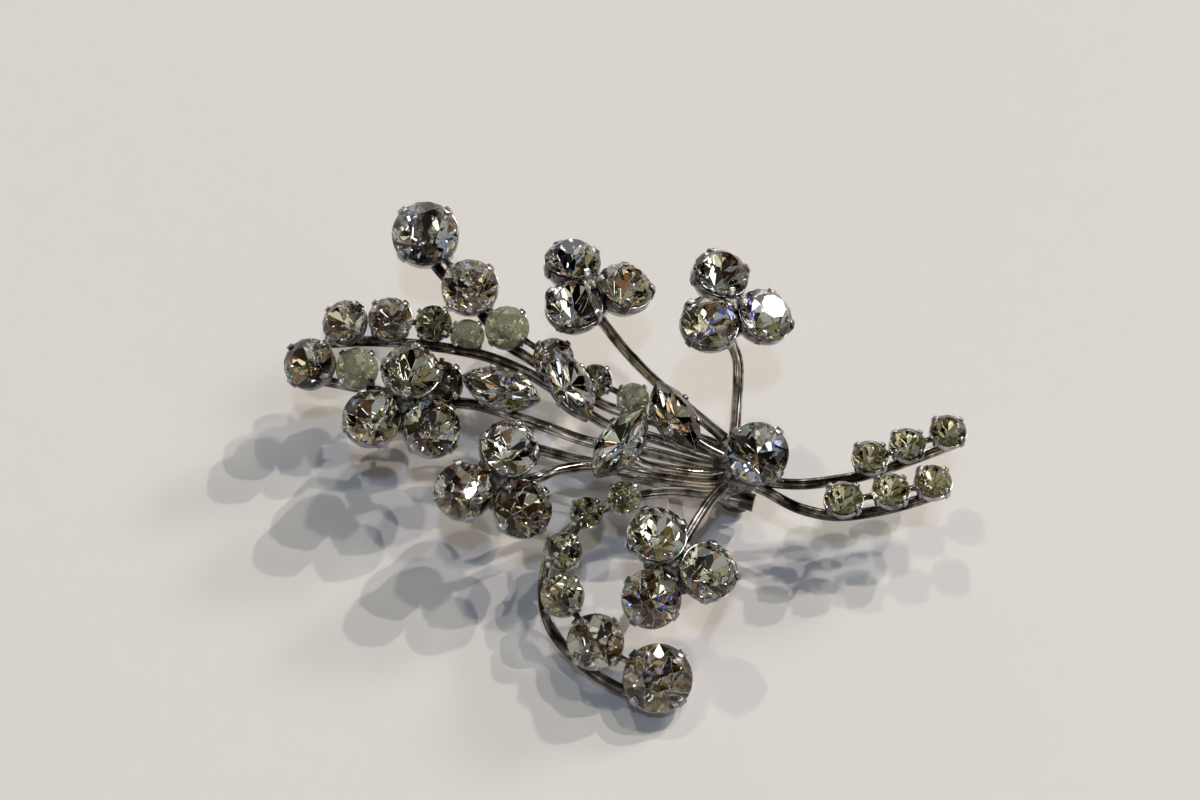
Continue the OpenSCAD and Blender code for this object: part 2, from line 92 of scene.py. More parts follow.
def edit_faces(piece: Piece, test: FaceTest = lambda face: True) -> None:
    """Opens a piece in edit mode with its faces selected, or only some of them.

    Args:
        piece: The mesh object to open.
        test: Says for each face whether it is selected.
    """
    make_active(piece)
    bpy.ops.object.mode_set(mode="EDIT")
    bpy.ops.mesh.select_mode(type="FACE")
    bpy.ops.mesh.select_all(action="DESELECT")
    bpy.ops.object.mode_set(mode="OBJECT")
    for face in piece.data.polygons:
        face.select = test(face)
    bpy.ops.object.mode_set(mode="EDIT")


def leave_edit() -> None:
    """Goes back to object mode."""
    bpy.ops.object.mode_set(mode="OBJECT")


def draw_out(piece: Piece, facing: Vector, start: Point, steps: Steps, wall: float = 0) -> None:
    """Draws out the end of a piece that faces one way, step by step, or sinks a pit into it.

    Args:
        piece: The mesh object to shape.
        facing: The direction that the end faces.
        start: The middle of that end.
        steps: For each step, how far the end moves and how much it then grows or shrinks.
        wall: Thickness of the wall that stays around a pit.
    """
    edit_faces(piece, lambda face: face.normal.dot(facing) > FACING)
    if wall:
        bpy.ops.mesh.inset(thickness=wall, depth=0)
    middle = Vector(start)
    for move, scale in steps:
        bpy.ops.mesh.extrude_region_move(TRANSFORM_OT_translate={"value": move})
        middle = middle + Vector(move)
        bpy.ops.transform.resize(value=(scale, scale, scale), center_override=middle)
    leave_edit()


def finish_with(piece: Piece, kind: str, **settings: Any) -> None:
    """Adds a modifier to a piece and applies it.

    Args:
        piece: The mesh object to finish.
        kind: Blender's name for the modifier.
        **settings: The modifier's properties.
    """
    make_active(piece)
    modifier = piece.modifiers.new(kind.title(), kind)
    for name, value in settings.items():
        setattr(modifier, name, value)
    bpy.ops.object.modifier_apply(modifier=modifier.name)


def smooth(piece: Piece, degrees: float) -> None:
    """Shades a piece smooth wherever its faces meet at less than an angle."""
    make_active(piece)
    bpy.ops.object.shade_smooth_by_angle(angle=math.radians(degrees))


def split_slots(piece: Piece, second: FaceTest) -> None:
    """Gives a piece two material slots, of which some faces take the second.

    Args:
        piece: The mesh object.
        second: Says for each face whether it takes the second slot.
    """
    for _ in range(2):
        piece.data.materials.append(None)
    for face in piece.data.polygons:
        face.material_index = int(second(face))


def copy_of(piece: Piece, place: Matrix, materials: Sequence[bpy.types.Material] = ()) -> Piece:
    """Copies a piece with a mesh of its own.

    Args:
        piece: The piece to copy.
        place: Where the copy goes, in millimetres.
        materials: What the copy's slots are filled with.

    Returns:
        The new object, with its place in its mesh.
    """
    twin = piece.copy()
    twin.data = piece.data.copy()
    twin.data.transform(place)
    for slot, material in enumerate(materials):
        twin.data.materials[slot] = material
    bpy.context.scene.collection.objects.link(twin)
    return twin


def join(pieces: Sequence[Piece], name: str) -> Piece:
    """Joins pieces into one object, where the first piece's material slots come first.

    Args:
        pieces: The mesh objects.
        name: Name of the joined object and its mesh.

    Returns:
        The joined object.
    """
    make_active(pieces[0])
    for piece in pieces:
        piece.select_set(True)
    bpy.ops.object.join()
    whole = bpy.context.object
    whole.name = whole.data.name = name
    return whole


def hand_over(piece: Piece, node: str) -> None:
    """Settles a finished piece into the frame in place of its CAD node.

    Args:
        piece: The piece, still in millimetres.
        node: The CAD node that it stands for.
    """
    piece.data.transform(Matrix.Scale(MM, 4))
    piece.data.update()
    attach(piece, BODY)
    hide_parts(node)
    LOG.info("%s stands for %s: %d faces", piece.name, node, len(piece.data.polygons))


def turned(degrees: float, axis: str = "Z") -> Matrix:
    """Gives the matrix that turns a piece about an axis through the origin."""
    return Matrix.Rotation(math.radians(degrees), 4, axis)


def lean_towards(centre: Sequence[float], lean: float, towards: float, turn: float = 0) -> Matrix:
    """Gives the place of a setting whose axis leans from straight up.

    Args:
        centre: The middle of the girdle.
        lean: Lean of the axis, in degrees.
        towards: Compass angle of the lean, where 0 is +X and 90 is +Y.
        turn: Turn of the setting about its own axis.

    Returns:
        The matrix that takes a setting from the origin to its place.
    """
    about = turned(towards)
    return Matrix.Translation(centre) @ about @ turned(lean, "Y") @ about.inverted() @ turned(turn)


# Finishes


def colour(hex_code: str) -> tuple[float, float, float, float]:
    """Turns an sRGB hex value to the linear colour that a shader takes.

    Args:
        hex_code: Six hex digits after a hash sign.

    Returns:
        Linear red, green and blue, with a full alpha.
    """
    shares = [int(hex_code[i : i + 2], 16) / 255 for i in (1, 3, 5)]
    linear = [s / 12.92 if s <= 0.04045 else ((s + 0.055) / 1.055) ** 2.4 for s in shares]
    return (linear[0], linear[1], linear[2], 1.0)


def add(
    tree: Tree,
    kind: str,
    inputs: dict[str | int, Any] | None = None,
    stops: Stops = (),
    **settings: Any,
) -> bpy.types.Node:
    """Adds a node with its settings and links.

    Args:
        tree: The material's or the world's node tree.
        kind: Blender's name for the node.
        inputs: For each input socket, a value or the output socket that feeds it.
        stops: On a colour ramp, the place and sRGB hex value of each colour, in order.
        **settings: The node's own properties, or its colour ramp's.

    Returns:
        The new node.
    """
    node = tree.nodes.new(kind)
    for name, value in settings.items():
        setattr(node.color_ramp if stops else node, name, value)
    for name, value in (inputs or {}).items():
        if isinstance(value, Socket):
            tree.links.new(value, node.inputs[name])
        else:
            node.inputs[name].default_value = value
    for number, (place, hex_code) in enumerate(stops):
        elements = node.color_ramp.elements
        element = elements[number] if number < len(elements) else elements.new(1.0)
        element.position = place
        element.color = colour(hex_code)
    return node


@dataclass(frozen=True)
class Finish:
    """A real material, which one Principled shader shows."""

    name: str

    def look(self, tree: Tree, place: Socket) -> dict[str, Any]:
        """Gives the shader's inputs.

        Args:
            tree: The material's node tree.
            place: The Object coordinates that its patterns lie in.

        Returns:
            For each input, a value or the output socket that feeds it.
        """
        raise NotImplementedError

    def material(self) -> bpy.types.Material:
        """Builds the material under its real name.

        Returns:
            The material.
        """
        material = bpy.data.materials.new(self.name)
        material.use_nodes = True
        tree = material.node_tree
        tree.nodes.clear()
        place = add(tree, "ShaderNodeTexCoord").outputs["Object"]
        shader = add(tree, "ShaderNodeBsdfPrincipled", self.look(tree, place))
        add(tree, "ShaderNodeOutputMaterial", {"Surface": shader.outputs["BSDF"]})
        return material


@dataclass(frozen=True)
class TarnishedPlate(Finish):
    """Rhodium-plated brass, dip-plated after soldering, and dulled by decades of use.

    It gives the eye a dark grey mirror that breaks into bright and black streaks, duller and
    browner where the plating has thinned. It is painted lighter around one place in the bundle
    of wires and darker further out: a painted sheen on the bundle, and painted shade on the rest.
    """

    bright: str
    dull: str
    dark: str
    smoothest: float = 0.14
    roughest: float = 0.32
    tones_at: tuple[float, ...] = (0.3, 0.46, 0.62)
    grain_range: tuple[float, float] = (0.3, 0.7)
    blotch_mm: float = 1.6
    grain_mm: float = 0.22
    bump_mm: float = 0.012
    # Painted light: lighter near one place, darker far out; the place and both distances.
    painted_light: float = 0.0
    painted_light_at: Point = (2.0, 1.0, 8.0)
    painted_light_mm: float = 7.0
    painted_shade_mm: float = 20.0

    def look(self, tree: Tree, place: Socket) -> dict[str, Any]:
        """Gives streaks of tarnish on a mirror with a fine grain, and painted light by distance.

        Args:
            tree: The material's node tree.
            place: The Object coordinates that its patterns lie in.

        Returns:
            The shader's inputs.
        """
        blotches = add(
            tree,
            "ShaderNodeTexNoise",
            {"Vector": place, "Scale": 1 / (self.blotch_mm * MM), "Detail": 4.0, "Roughness": 0.6},
        )
        grain = add(
            tree,
            "ShaderNodeTexNoise",
            {"Vector": place, "Scale": 1 / (self.grain_mm * MM), "Detail": 3.0, "Roughness": 0.55},
        ).outputs["Fac"]
        # Painted sheen near one place and painted shade further out, by distance from it.
        painted_light_at = Vector(self.painted_light_at) * MM
        away = add(tree, "ShaderNodeVectorMath", {0: place, 1: painted_light_at}, operation="DISTANCE")
        painted_light = add(
            tree,
            "ShaderNodeMapRange",
            {
                "Value": away.outputs["Value"],
                "From Min": self.painted_light_mm * MM,
                "From Max": self.painted_shade_mm * MM,
                "To Min": self.painted_light / 2,
                "To Max": -self.painted_light / 2,
            },
        )
        both = {0: blotches.outputs["Fac"], 1: painted_light.outputs["Result"]}
        # Random tarnish blotches plus the painted light pick the plate's tone.
        wear_and_painted_light = add(tree, "ShaderNodeMath", both, operation="ADD").outputs["Value"]
        tones = tuple(zip(self.tones_at, (self.dark, self.dull, self.bright)))
        rough = add(
            tree,
            "ShaderNodeMapRange",
            {
                "Value": grain,
                "From Min": self.grain_range[0],
                "From Max": self.grain_range[1],
                "To Min": self.smoothest,
                "To Max": self.roughest,
            },
        )
        bump = {"Height": grain, "Distance": self.bump_mm * MM, "Strength": 0.5}
        return {
            "Base Color": add(tree, "ShaderNodeValToRGB", {"Fac": wear_and_painted_light}, tones).outputs["Color"],
            "Metallic": 1.0,
            "Roughness": rough.outputs["Result"],
            "Normal": add(tree, "ShaderNodeBump", bump).outputs["Normal"],
        }


@dataclass(frozen=True)
class SoftSolder(Finish):
    """Tin-lead solder, flowed by hand and plated over: dark grey, lumpy, with a dull shine."""

    name: str = "Tin-lead solder, plated over"
    light: str = "#8b8a86"
    dark: str = "#33322f"
    tones_at: tuple[float, float] = (0.36, 0.64)
    lump_mm: float = 0.45
    bump_mm: float = 0.12
    roughness: float = 0.38

    def look(self, tree: Tree, place: Socket) -> dict[str, Any]:
        """Gives lumps that are lighter on top.

        Args:
            tree: The material's node tree.
            place: The Object coordinates that its patterns lie in.

        Returns:
            The shader's inputs.
        """
        lumps = add(
            tree,
            "ShaderNodeTexNoise",
            {"Vector": place, "Scale": 1 / (self.lump_mm * MM), "Detail": 5.0, "Roughness": 0.65},
        ).outputs["Fac"]
        tones = tuple(zip(self.tones_at, (self.dark, self.light)))
        bump = {"Height": lumps, "Distance": self.bump_mm * MM, "Strength": 0.7}
        return {
            "Base Color": add(tree, "ShaderNodeValToRGB", {"Fac": lumps}, tones).outputs["Color"],
            "Metallic": 1.0,
            "Roughness": self.roughness,
            "Normal": add(tree, "ShaderNodeBump", bump).outputs["Normal"],
        }


@dataclass(frozen=True)
class LeadGlass(Finish):
    """Lead glass, pressed, ground and polished: clear, bright and strongly refracting."""

    tint: str
    roughness: float = 0.0
    clearness: float = 1.0
    ior: float = 1.56
    scuff_mm: float = 0.5
    scuff_range: tuple[float, float] = (0.4, 0.75)
    scuffed: float = 0.02

    def look(self, tree: Tree, place: Socket) -> dict[str, Any]:
        """Gives polished glass with faint scuffs.

        Args:
            tree: The material's node tree.
            place: The Object coordinates that its patterns lie in.

        Returns:
            The shader's inputs.
        """
        pattern = {"Vector": place, "Scale": 1 / (self.scuff_mm * MM), "Detail": 3.0}
        scuffs = add(tree, "ShaderNodeTexNoise", pattern).outputs["Fac"]
        rough = add(
            tree,
            "ShaderNodeMapRange",
            {
                "Value": scuffs,
                "From Min": self.scuff_range[0],
                "From Max": self.scuff_range[1],
                "To Min": self.roughness,
                "To Max": self.roughness * 2 + self.scuffed,
            },
        )
        return {
            "Base Color": colour(self.tint),
            "Roughness": rough.outputs["Result"],
            "IOR": self.ior,
            "Transmission Weight": self.clearness,
        }


@dataclass(frozen=True)
class MirrorFoil(Finish):
    """Silver mirror foil with a lacquer back, laid on the point of a stone and aged.

    Each facet's foil takes its own tone, so the eye meets wedges of bright mirror beside
    yellowed, browned and black ones: partly aged foil and partly painted reflections. A rare
    one is painted a pure colour, a painted glint of the colours that glass splits light into.
    """

    ages: Stops
    patch_mm: float = 1.2
    creep: float = 0.08
    roughness: float = 0.03

    def look(self, tree: Tree, place: Socket) -> dict[str, Any]:
        """Gives each facet its tone, partly aged foil and partly painted reflection, with edges
        that creep a little into it.

        Args:
            tree: The material's node tree.
            place: The Object coordinates that its patterns lie in.

        Returns:
            The shader's inputs.
        """
        pattern = {"Vector": place, "Scale": 1 / (self.patch_mm * MM), "Detail": 1.0}
        patches = add(tree, "ShaderNodeTexNoise", pattern).outputs["Fac"]
        centred = {"Value": patches, "To Min": -self.creep, "To Max": self.creep}
        creep = add(tree, "ShaderNodeMapRange", centred).outputs["Result"]
        # The facet's value picks aged foil and painted reflection; the rarest pick painted coloured
        # glints.
        facet = add(tree, "ShaderNodeAttribute", attribute_name=FACET).outputs["Fac"]
        age_and_reflection = add(tree, "ShaderNodeMath", {0: facet, 1: creep}, operation="ADD").outputs["Value"]
        tone = add(tree, "ShaderNodeValToRGB", {"Fac": age_and_reflection}, self.ages, interpolation="CONSTANT")
        return {
            "Base Color": tone.outputs["Color"],
            "Metallic": 1.0,
            "Roughness": self.roughness,
        }


@dataclass(frozen=True)
class TableTop(Finish):
    """A pale laminate table: smooth, almost matt, slightly warm."""

    name: str = "Laminate, pale"
    tone: str = "#dbd9d7"
    roughness: float = 0.55

    def look(self, tree: Tree, place: Socket) -> dict[str, Any]:
        """Gives one even tone."""
        return {"Base Color": colour(self.tone), "Roughness": self.roughness}


# Foil tones: dark and bright wedges are aged foil and painted reflection; pure colours, painted
# glints.
FOIL_CLEAR = (
    (0.0, "#100f10"), (0.1, "#46372a"), (0.17, "#8b6c52"), (0.23, "#b3a283"), (0.36, "#cdcab4"),
    (0.48, "#f6f4ec"), (0.78, "#cdd8f0"), (0.88, "#ffffff"), (0.955, "#8b92f5"), (0.978, "#ffab62"),
    (0.992, "#a6f0dc"),
)
FOIL_OLIVE = (
    (0.0, "#25231a"), (0.12, "#5f523c"), (0.22, "#a09b78"), (0.38, "#c9c6a8"), (0.6, "#e6e4d2"),
    (0.8, "#f8f8f0"),
)
FOIL_CLOUDY = ((0.0, "#a3a388"), (0.25, "#c6c6ac"), (0.5, "#e2e2cb"), (0.75, "#fbfbee"))


class Tone(Enum):
    """How a stone has aged, each with a slot name."""

    CLEAR = "crystal_clear"
    OLIVE = "crystal_olive"
    CLOUDY = "crystal_cloudy"


class Finishes:
    """The materials, each built once and shared."""

    def __init__(self) -> None:
        """Builds every material."""
        self.plate = TarnishedPlate(
            "Rhodium-plated brass, stamped", "#c8c6c7", "#929095", "#4b494c"
        ).material()
        # The seat's plate is darker: painted shade under the stone, in the pit and on the top of
        # the lip.
        self.seat = TarnishedPlate(
            "Rhodium-plated brass, darkened_by_painted_shade in the seat", "#4c4b49", "#33322f", "#1c1a18"
        ).material()
        # The drawn wire takes painted light: a painted sheen on the bundle of wires, painted shade
        # further out.
        self.wire = TarnishedPlate(
            "Rhodium-plated brass, drawn wire",
            "#cbc5bd",
            "#5e5953",
            "#1f1d1a",
            smoothest=0.03,
            roughest=0.12,
            blotch_mm=2.4,
            bump_mm=0.004,
            painted_light=0.16,
        ).material()
        self.solder = SoftSolder().material()
        self.table = TableTop().material()
        self.glass = {
            Tone.CLEAR: LeadGlass("Lead glass, clear", "#fdfcf8").material(),
            Tone.OLIVE: LeadGlass("Lead glass, olive tint", "#eeeddf", 0.02).material(),
            Tone.CLOUDY: LeadGlass("Lead glass, hazed", "#e6e8cf", 0.03, 0.86).material(),
        }
        self.foil = {
            Tone.CLEAR: MirrorFoil("Mirror foil", FOIL_CLEAR).material(),
            Tone.OLIVE: MirrorFoil("Mirror foil, yellowed", FOIL_OLIVE).material(),
            Tone.CLOUDY: MirrorFoil("Mirror foil, clouded", FOIL_CLOUDY, roughness=0.14).material(),
        }


# Stones


@dataclass
class CutStone:
    """A foiled glass stone, cut from a block facet by facet over a girdle of 16 sides.

    The table has 8 sides. The crown has 8 star, 8 main and 16 edge facets, and the point has
    8 main and 16 edge facets.
    """

    sides: int = 16
    block: float = 4.0
    table: float = 0.48
    crown: float = 0.3
    point: float = 0.4
    girdle: float = 0.03
    crown_middle: float = 0.8
    point_middle: float = 0.42
    over_rim: float = 0.24
    worn_edge: float = 0.035
    worn_from: float = 8.0
    least_cut: float = 0.001
    weld: float = 0.0001
    # A power on each facet's random value, for aged foil and painted reflection: below 1 the
    # stone is brighter than most, above 1 darker
    wear_and_painted_light: ClassVar[dict[str, float]] = {
        "spray_a_stone_2": 0.42,
        "spray_b_stone_1": 1.25,
        "spray_c_stone_1": 1.3,
        "spray_d_stone_4": 0.75,
        "leaf_stone_1": 0.6,
        "leaf_stone_2": 0.85,
        "leaf_stone_3": 1.9,
        "leaf_stone_4": 0.8,
        "trefoil_2_stone_1": 0.65,
        "trefoil_2_stone_3": 1.7,
        "trefoil_3_stone_2": 1.5,
        "trefoil_3_stone_3": 1.2,
        "trefoil_4_stone_2": 1.4,
    }
    seed: ClassVar[int] = 7
    dice: random.Random = field(default_factory=lambda: random.Random(CutStone.seed))

    def round_outline(self, width: float) -> list[Vector]:
        """Gives the corners of a round girdle."""
        turns = [math.radians(360 / self.sides * k) for k in range(self.sides)]
        return [Vector((math.cos(turn), math.sin(turn))) * width / 2 for turn in turns]

    def leaf_outline(self, length: float, width: float) -> list[Vector]:
        """Gives the corners of a pointed oval girdle.

        Args:
            length: Length from point to point, along X.
            width: Width across the middle.

        Returns:
            The corners, anticlockwise from the point at +X.
        """
        radius = (length**2 + width**2) / (4 * width)
        half = math.asin(length / 2 / radius)
        corners = []
        for k in range(self.sides):
            upper = k < self.sides / 2
            turn = math.pi / 2 - half + half * (k if upper else self.sides - k) / (self.sides / 4)
            y = radius * math.sin(turn) - (radius - width / 2)
            corners.append(Vector((radius * math.cos(turn), y if upper else -y)))
        return corners

    def facets(
        self, outline: Sequence[Vector], width: float
    ) -> list[tuple[Vector, Vector, Vector]]:
        """Lists three corners of each facet of a stone.

        Args:
            outline: The corners of the girdle.
            width: The width that the heights are shares of.

        Returns:
            Three corners for every facet, the girdle's sides first.
        """

        def ring(corners: Sequence[Vector], share: float, z: float) -> list[Vector]:
            """Lifts corners to a height, pulled in to a share of their distance."""
            return [Vector((c.x * share, c.y * share, z)) for c in corners]

        edge = self.girdle * width / 2
        inner = math.cos(2 * math.pi / self.sides)
        outline = [c * (1 + 2 * self.over_rim / width) for c in outline]
        rise = self.crown * width * (1 - self.crown_middle * inner) / (1 - self.table)
        drop = self.point * width * (1 - self.point_middle * inner)
        tables = ring(outline[::2], self.table, edge + self.crown * width)
        crowns = ring(outline[1::2], self.crown_middle, edge + rise)
        tops = ring(outline, 1, edge)
        bottoms = ring(outline, 1, -edge)
        points = ring(outline[1::2], self.point_middle, -edge - drop)
        tip = Vector((0, 0, -edge - self.point * width))
        cuts = [(tops[k], tops[k - 1], bottoms[k]) for k in range(self.sides)]
        cuts.append((tables[0], tables[3], tables[5]))
        for j in range(len(tables)):
            a, b, c = 2 * j, 2 * j + 1, (2 * j + 2) % self.sides
            cuts += [
                (tops[a], tables[j], crowns[j]),
                (tops[a], tables[j], crowns[j - 1]),
                (tables[j], tables[(j + 1) % len(tables)], crowns[j]),
                (crowns[j], tops[b], tops[a]),
                (crowns[j], tops[c], tops[b]),
                (tip, bottoms[a], points[j]),
                (tip, bottoms[a], points[j - 1]),
                (points[j], bottoms[a], bottoms[b]),
                (points[j], bottoms[b], bottoms[c]),
            ]
        return cuts

    def cut(self, outline: Sequence[Vector], width: float) -> Piece:
        """Cuts a stone from a block.

        Args:
            outline: The corners of the girdle.
            width: The width that the heights are shares of.

        Returns:
            The stone at the origin, in millimetres, with its pavilion in the second slot.
        """
        bpy.ops.mesh.primitive_cube_add(size=self.block * width)
        stone = bpy.context.object
        for a, b, c in self.facets(outline, width):
            outward = (b - a).cross(c - a).normalized()
            if outward.dot(a) < 0:
                outward = -outward
            beyond = max(outward.dot(v.co - a) for v in stone.data.vertices)
            if beyond < self.least_cut:
                continue
            edit_faces(stone)
            bpy.ops.mesh.bisect(
                plane_co=a, plane_no=outward, use_fill=True, clear_outer=True, threshold=self.weld
            )
            leave_edit()
        worn_from = math.radians(self.worn_from)
        finish_with(stone, "BEVEL", width=self.worn_edge, segments=1, angle_limit=worn_from)
        pavilion = -self.girdle * width / 2 - self.worn_edge
        split_slots(stone, lambda face: face.center.z < pavilion)
        return stone

    def set_stone(self, node: str, model: Piece, place: Matrix, tone: Tone, kit: Finishes) -> None:
        """Sets a copy of a stone in its cup.

        Args:
            node: The CAD node that the copy stands for.
            model: The cut stone to copy.
            place: The place of the girdle's middle, in millimetres.
            tone: How this stone has aged.
            kit: The shared materials.
        """
        stone = copy_of(model, place, (kit.glass[tone], kit.foil[tone]))
        stone.name = stone.data.name = node + "_cut"
        # Each facet's random value picks its foil tone: aged foil and painted reflection.
        ages = stone.data.attributes.new(FACET, "FLOAT", "FACE")
        for age_and_reflection in ages.data:
            age_and_reflection.value = self.dice.random() ** self.wear_and_painted_light.get(node, 1.0)
        hand_over(stone, node)


# Metalwork


@dataclass(frozen=True)
class ClawCup:
    """A stamped cup with four claws folded over a stone.

    The claw folds in shares of the stone's width, each with how much the claw then narrows.
    """

    width: float
    gap: float = 0.06
    wall: float = 0.24
    under: float = 0.45
    foot: float = 0.7
    girdle: float = CutStone.girdle
    point: float = CutStone.point
    point_middle: float = CutStone.point_middle
    lip: float = -0.2
    step: float = 0.05
    pit_end: float = 0.08
    pit_facing: float = 0.2
    shoulder: float = 0.45
    worn_edge: float = 0.06
    worn_from: float = 50.0
    claw_base: float = 0.12
    claw_share: float = 0.128
    claw_thickness: float = 0.24
    claw_outside: float = 0.2
    claw_rise: float = 0.04
    claw_root: Point = (-0.05, 0, 0.08)
    claw_folds: ClassVar[Sequence[Point]] = ((-0.05, 0.055, 0.92), (-0.035, 0.032, 0.72))
    sides: int = 40
    leaf_sides: int = 72
    leaf_ends: float = 1.4
    leaf_claws: float = 0.2
    seam: float = 0.001

    @property
    def depth(self) -> float:
        """Gives the depth of the foot below the girdle's middle."""
        return self.width * (self.girdle / 2 + self.point) + self.under

    @property
    def top(self) -> float:
        """Gives the height of the lip."""
        return self.lip - self.girdle * self.width / 2

    @property
    def low(self) -> float:
        """Gives the height of the shoulder, below which the cup narrows to its foot."""
        return -self.shoulder * self.depth

    def wear_edges(self, piece: Piece, crease: float) -> None:
        """Rounds the edges of stamped metal, and shades it smooth up to a crease.

        Args:
            piece: The mesh object.
            crease: The angle, in degrees, from which an edge stays a crease.
        """
        finish_with(
            piece,
            "BEVEL",
            width=self.worn_edge,
            segments=2,
            limit_method="ANGLE",
            angle_limit=math.radians(self.worn_from),
        )
        smooth(piece, crease)

    def claw(self) -> Piece:
        """Models one claw, folded towards -X, with its outer wall at X = 0.

        Returns:
            The claw, in millimetres.
        """
        high = self.girdle * self.width / 2 + self.claw_rise
        middle = -self.claw_thickness / 2
        bpy.ops.mesh.primitive_cube_add(size=1, location=(middle, 0, (self.low + high) / 2))
        across = self.claw_base + self.claw_share * self.width
        bpy.context.object.scale = (self.claw_thickness, across, high - self.low)
        claw = settled()
        folds = [((x * self.width, 0, z * self.width), scale) for x, z, scale in self.claw_folds]
        draw_out(claw, UP, (middle, 0, high), [(self.claw_root, 1.0), *folds])
        self.wear_edges(claw, crease=50)
        return claw

    def pit(self) -> Steps:
        """Gives the steps of the pit that the stone's point stands in.

        Returns:
            For each step, how far down it goes and how much the pit then narrows.
        """
        inner = math.cos(2 * math.pi / CutStone.sides)
        drop = self.point * self.width * (1 - self.point_middle * inner)
        return [
            ((0, 0, -self.step), 1.0),
            ((0, 0, -drop - self.gap + self.step - self.lip), self.point_middle + self.gap),
            ((0, 0, drop - self.point * self.width - self.gap / 2), self.pit_end),
        ]

    def disc(self, sides: int, radius: float, y: float = 0) -> Piece:
        """Turns a disc that reaches from the shoulder up to the lip.

        Args:
            sides: How many flat sides stand for its round one.
            radius: Its radius.
            y: How far its middle lies from the cup's axis.

        Returns:
            The disc, in millimetres.
        """
        middle = (0, y, (self.top + self.low) / 2)
        bpy.ops.mesh.primitive_cylinder_add(
            vertices=sides, radius=radius, depth=self.top - self.low, location=middle
        )
        return settled()

    def finished(self, body: Piece, claws: Sequence[Matrix]) -> Piece:
        """Sinks a cup's pit, narrows its foot and gives it its claws.

        Args:
            body: A prism from the cup's shoulder up to its lip.
            claws: The places of the claws' outer walls.

        Returns:
            The cup at the origin, in millimetres, with its pit and the top of its lip, where
            painted shade darkens the plate, in the second slot.
        """
        down = (0, 0, -(self.depth + self.low) / 2)
        narrowed = (1 + self.foot) / 2
        draw_out(body, -UP, (0, 0, self.low), [(down, narrowed), (down, self.foot / narrowed)])
        draw_out(body, UP, (0, 0, self.top), self.pit(), self.wall)
        self.wear_edges(body, crease=40)
        # The faces that look up, the pit and the top of the lip, take the second slot: painted
        # shade under the stone.
        split_slots(body, lambda face: face.normal.z > self.pit_facing)
        claw = self.claw()
        parts = [body] + [copy_of(claw, place) for place in claws]
        bpy.data.objects.remove(claw)
        return join(parts, "claw_cup")

    def round_cup(self, first_claw: float) -> Piece:
        """Models a round cup with its first claw at a compass angle.

        Args:
            first_claw: The compass angle.

        Returns:
            The cup at the origin, in millimetres.
        """
        rim = self.width / 2 + self.gap + self.wall
        outside = Matrix.Translation((rim + self.claw_outside, 0, 0))
        claws = [turned(first_claw + 90 * k) @ outside for k in range(4)]
        return self.finished(self.disc(self.sides, rim), claws)

    def leaf_cup(self, length: float) -> Piece:
        """Models a pointed oval cup for a stone of some length along X.

        Args:
            length: Length of the stone.

        Returns:
            The cup at the origin, in millimetres.
        """
        grow = 2 * (self.gap + self.wall)
        long, wide = length + grow * self.leaf_ends, self.width + grow
        radius = (long**2 + wide**2) / (4 * wide)
        body = self.disc(self.leaf_sides, radius, wide / 2 - radius)
        edit_faces(body)
        bpy.ops.mesh.bisect(
            plane_co=(0, 0, 0), plane_no=(0, 1, 0), clear_inner=True, use_fill=False
        )
        leave_edit()
        finish_with(body, "MIRROR", use_axis=(False, True, False), merge_threshold=self.seam)
        edit_faces(body, lambda face: abs(face.normal.z) > FACING)
        bpy.ops.mesh.dissolve_limited(angle_limit=math.radians(1))
        leave_edit()
        claws = []
        for side in (-1, 1):
            for end in (-1, 1):
                x = end * length * self.leaf_claws
                y = side * (math.sqrt(radius**2 - x**2) - (radius - wide / 2) + self.claw_outside)
                facing = side * (math.pi / 2 - math.asin(x / radius))
                claws.append(Matrix.Translation((x, y, 0)) @ Matrix.Rotation(facing, 4, "Z"))
        return self.finished(body, claws)


@dataclass
class RoundWire:
    """A drawn wire bent along a smooth route, with cut ends."""

    route: Route
    diameter: float = 1.2
    waist: float = 1.0
    steps: int = 6
    roundness: int = 5
    weld: float = 0.0005

    def path(self) -> list[Vector]:
        """Gives points on the smooth curve through the route's points, in their order.

        Returns:
            The points.
        """
        stops = [Vector(p) for p in self.route]
        last = len(stops) - 1
        points = []
        for i in range(last):
            a, b, c, d = stops[max(i - 1, 0)], stops[i], stops[i + 1], stops[min(i + 2, last)]
            for s in range(self.steps):
                t = s / self.steps
                square = (2 * a - 5 * b + 4 * c - d) * t * t
                cube = (3 * b - a - 3 * c + d) * t**3
                points.append(0.5 * (2 * b + (c - a) * t + square + cube))
        points.append(stops[-1])
        return points

    def model(self) -> Piece:
        """Models the wire as a round section along its path.

        Returns:
            The wire, in millimetres.
        """
        deselect()
        bpy.ops.curve.primitive_nurbs_path_add()
        curve = bpy.context.object.data
        curve.splines.clear()
        path = self.path()
        spline = curve.splines.new("POLY")
        spline.points.add(len(path) - 1)
        for i, point in enumerate(path):
            spline.points[i].co = (*point, 1)
            middle = math.sin(math.pi * i / (len(path) - 1))
            spline.points[i].radius = 1 - (1 - self.waist) * middle
        curve.dimensions = "3D"
        curve.bevel_depth = self.diameter / 2
        curve.bevel_resolution = self.roundness
        curve.use_fill_caps = True
        bpy.ops.object.convert(target="MESH")
        wire = bpy.context.object
        edit_faces(wire)
        bpy.ops.mesh.remove_doubles(threshold=self.weld)
        bpy.ops.mesh.normals_make_consistent(inside=False)
        leave_edit()
        smooth(wire, degrees=50)
        return wire


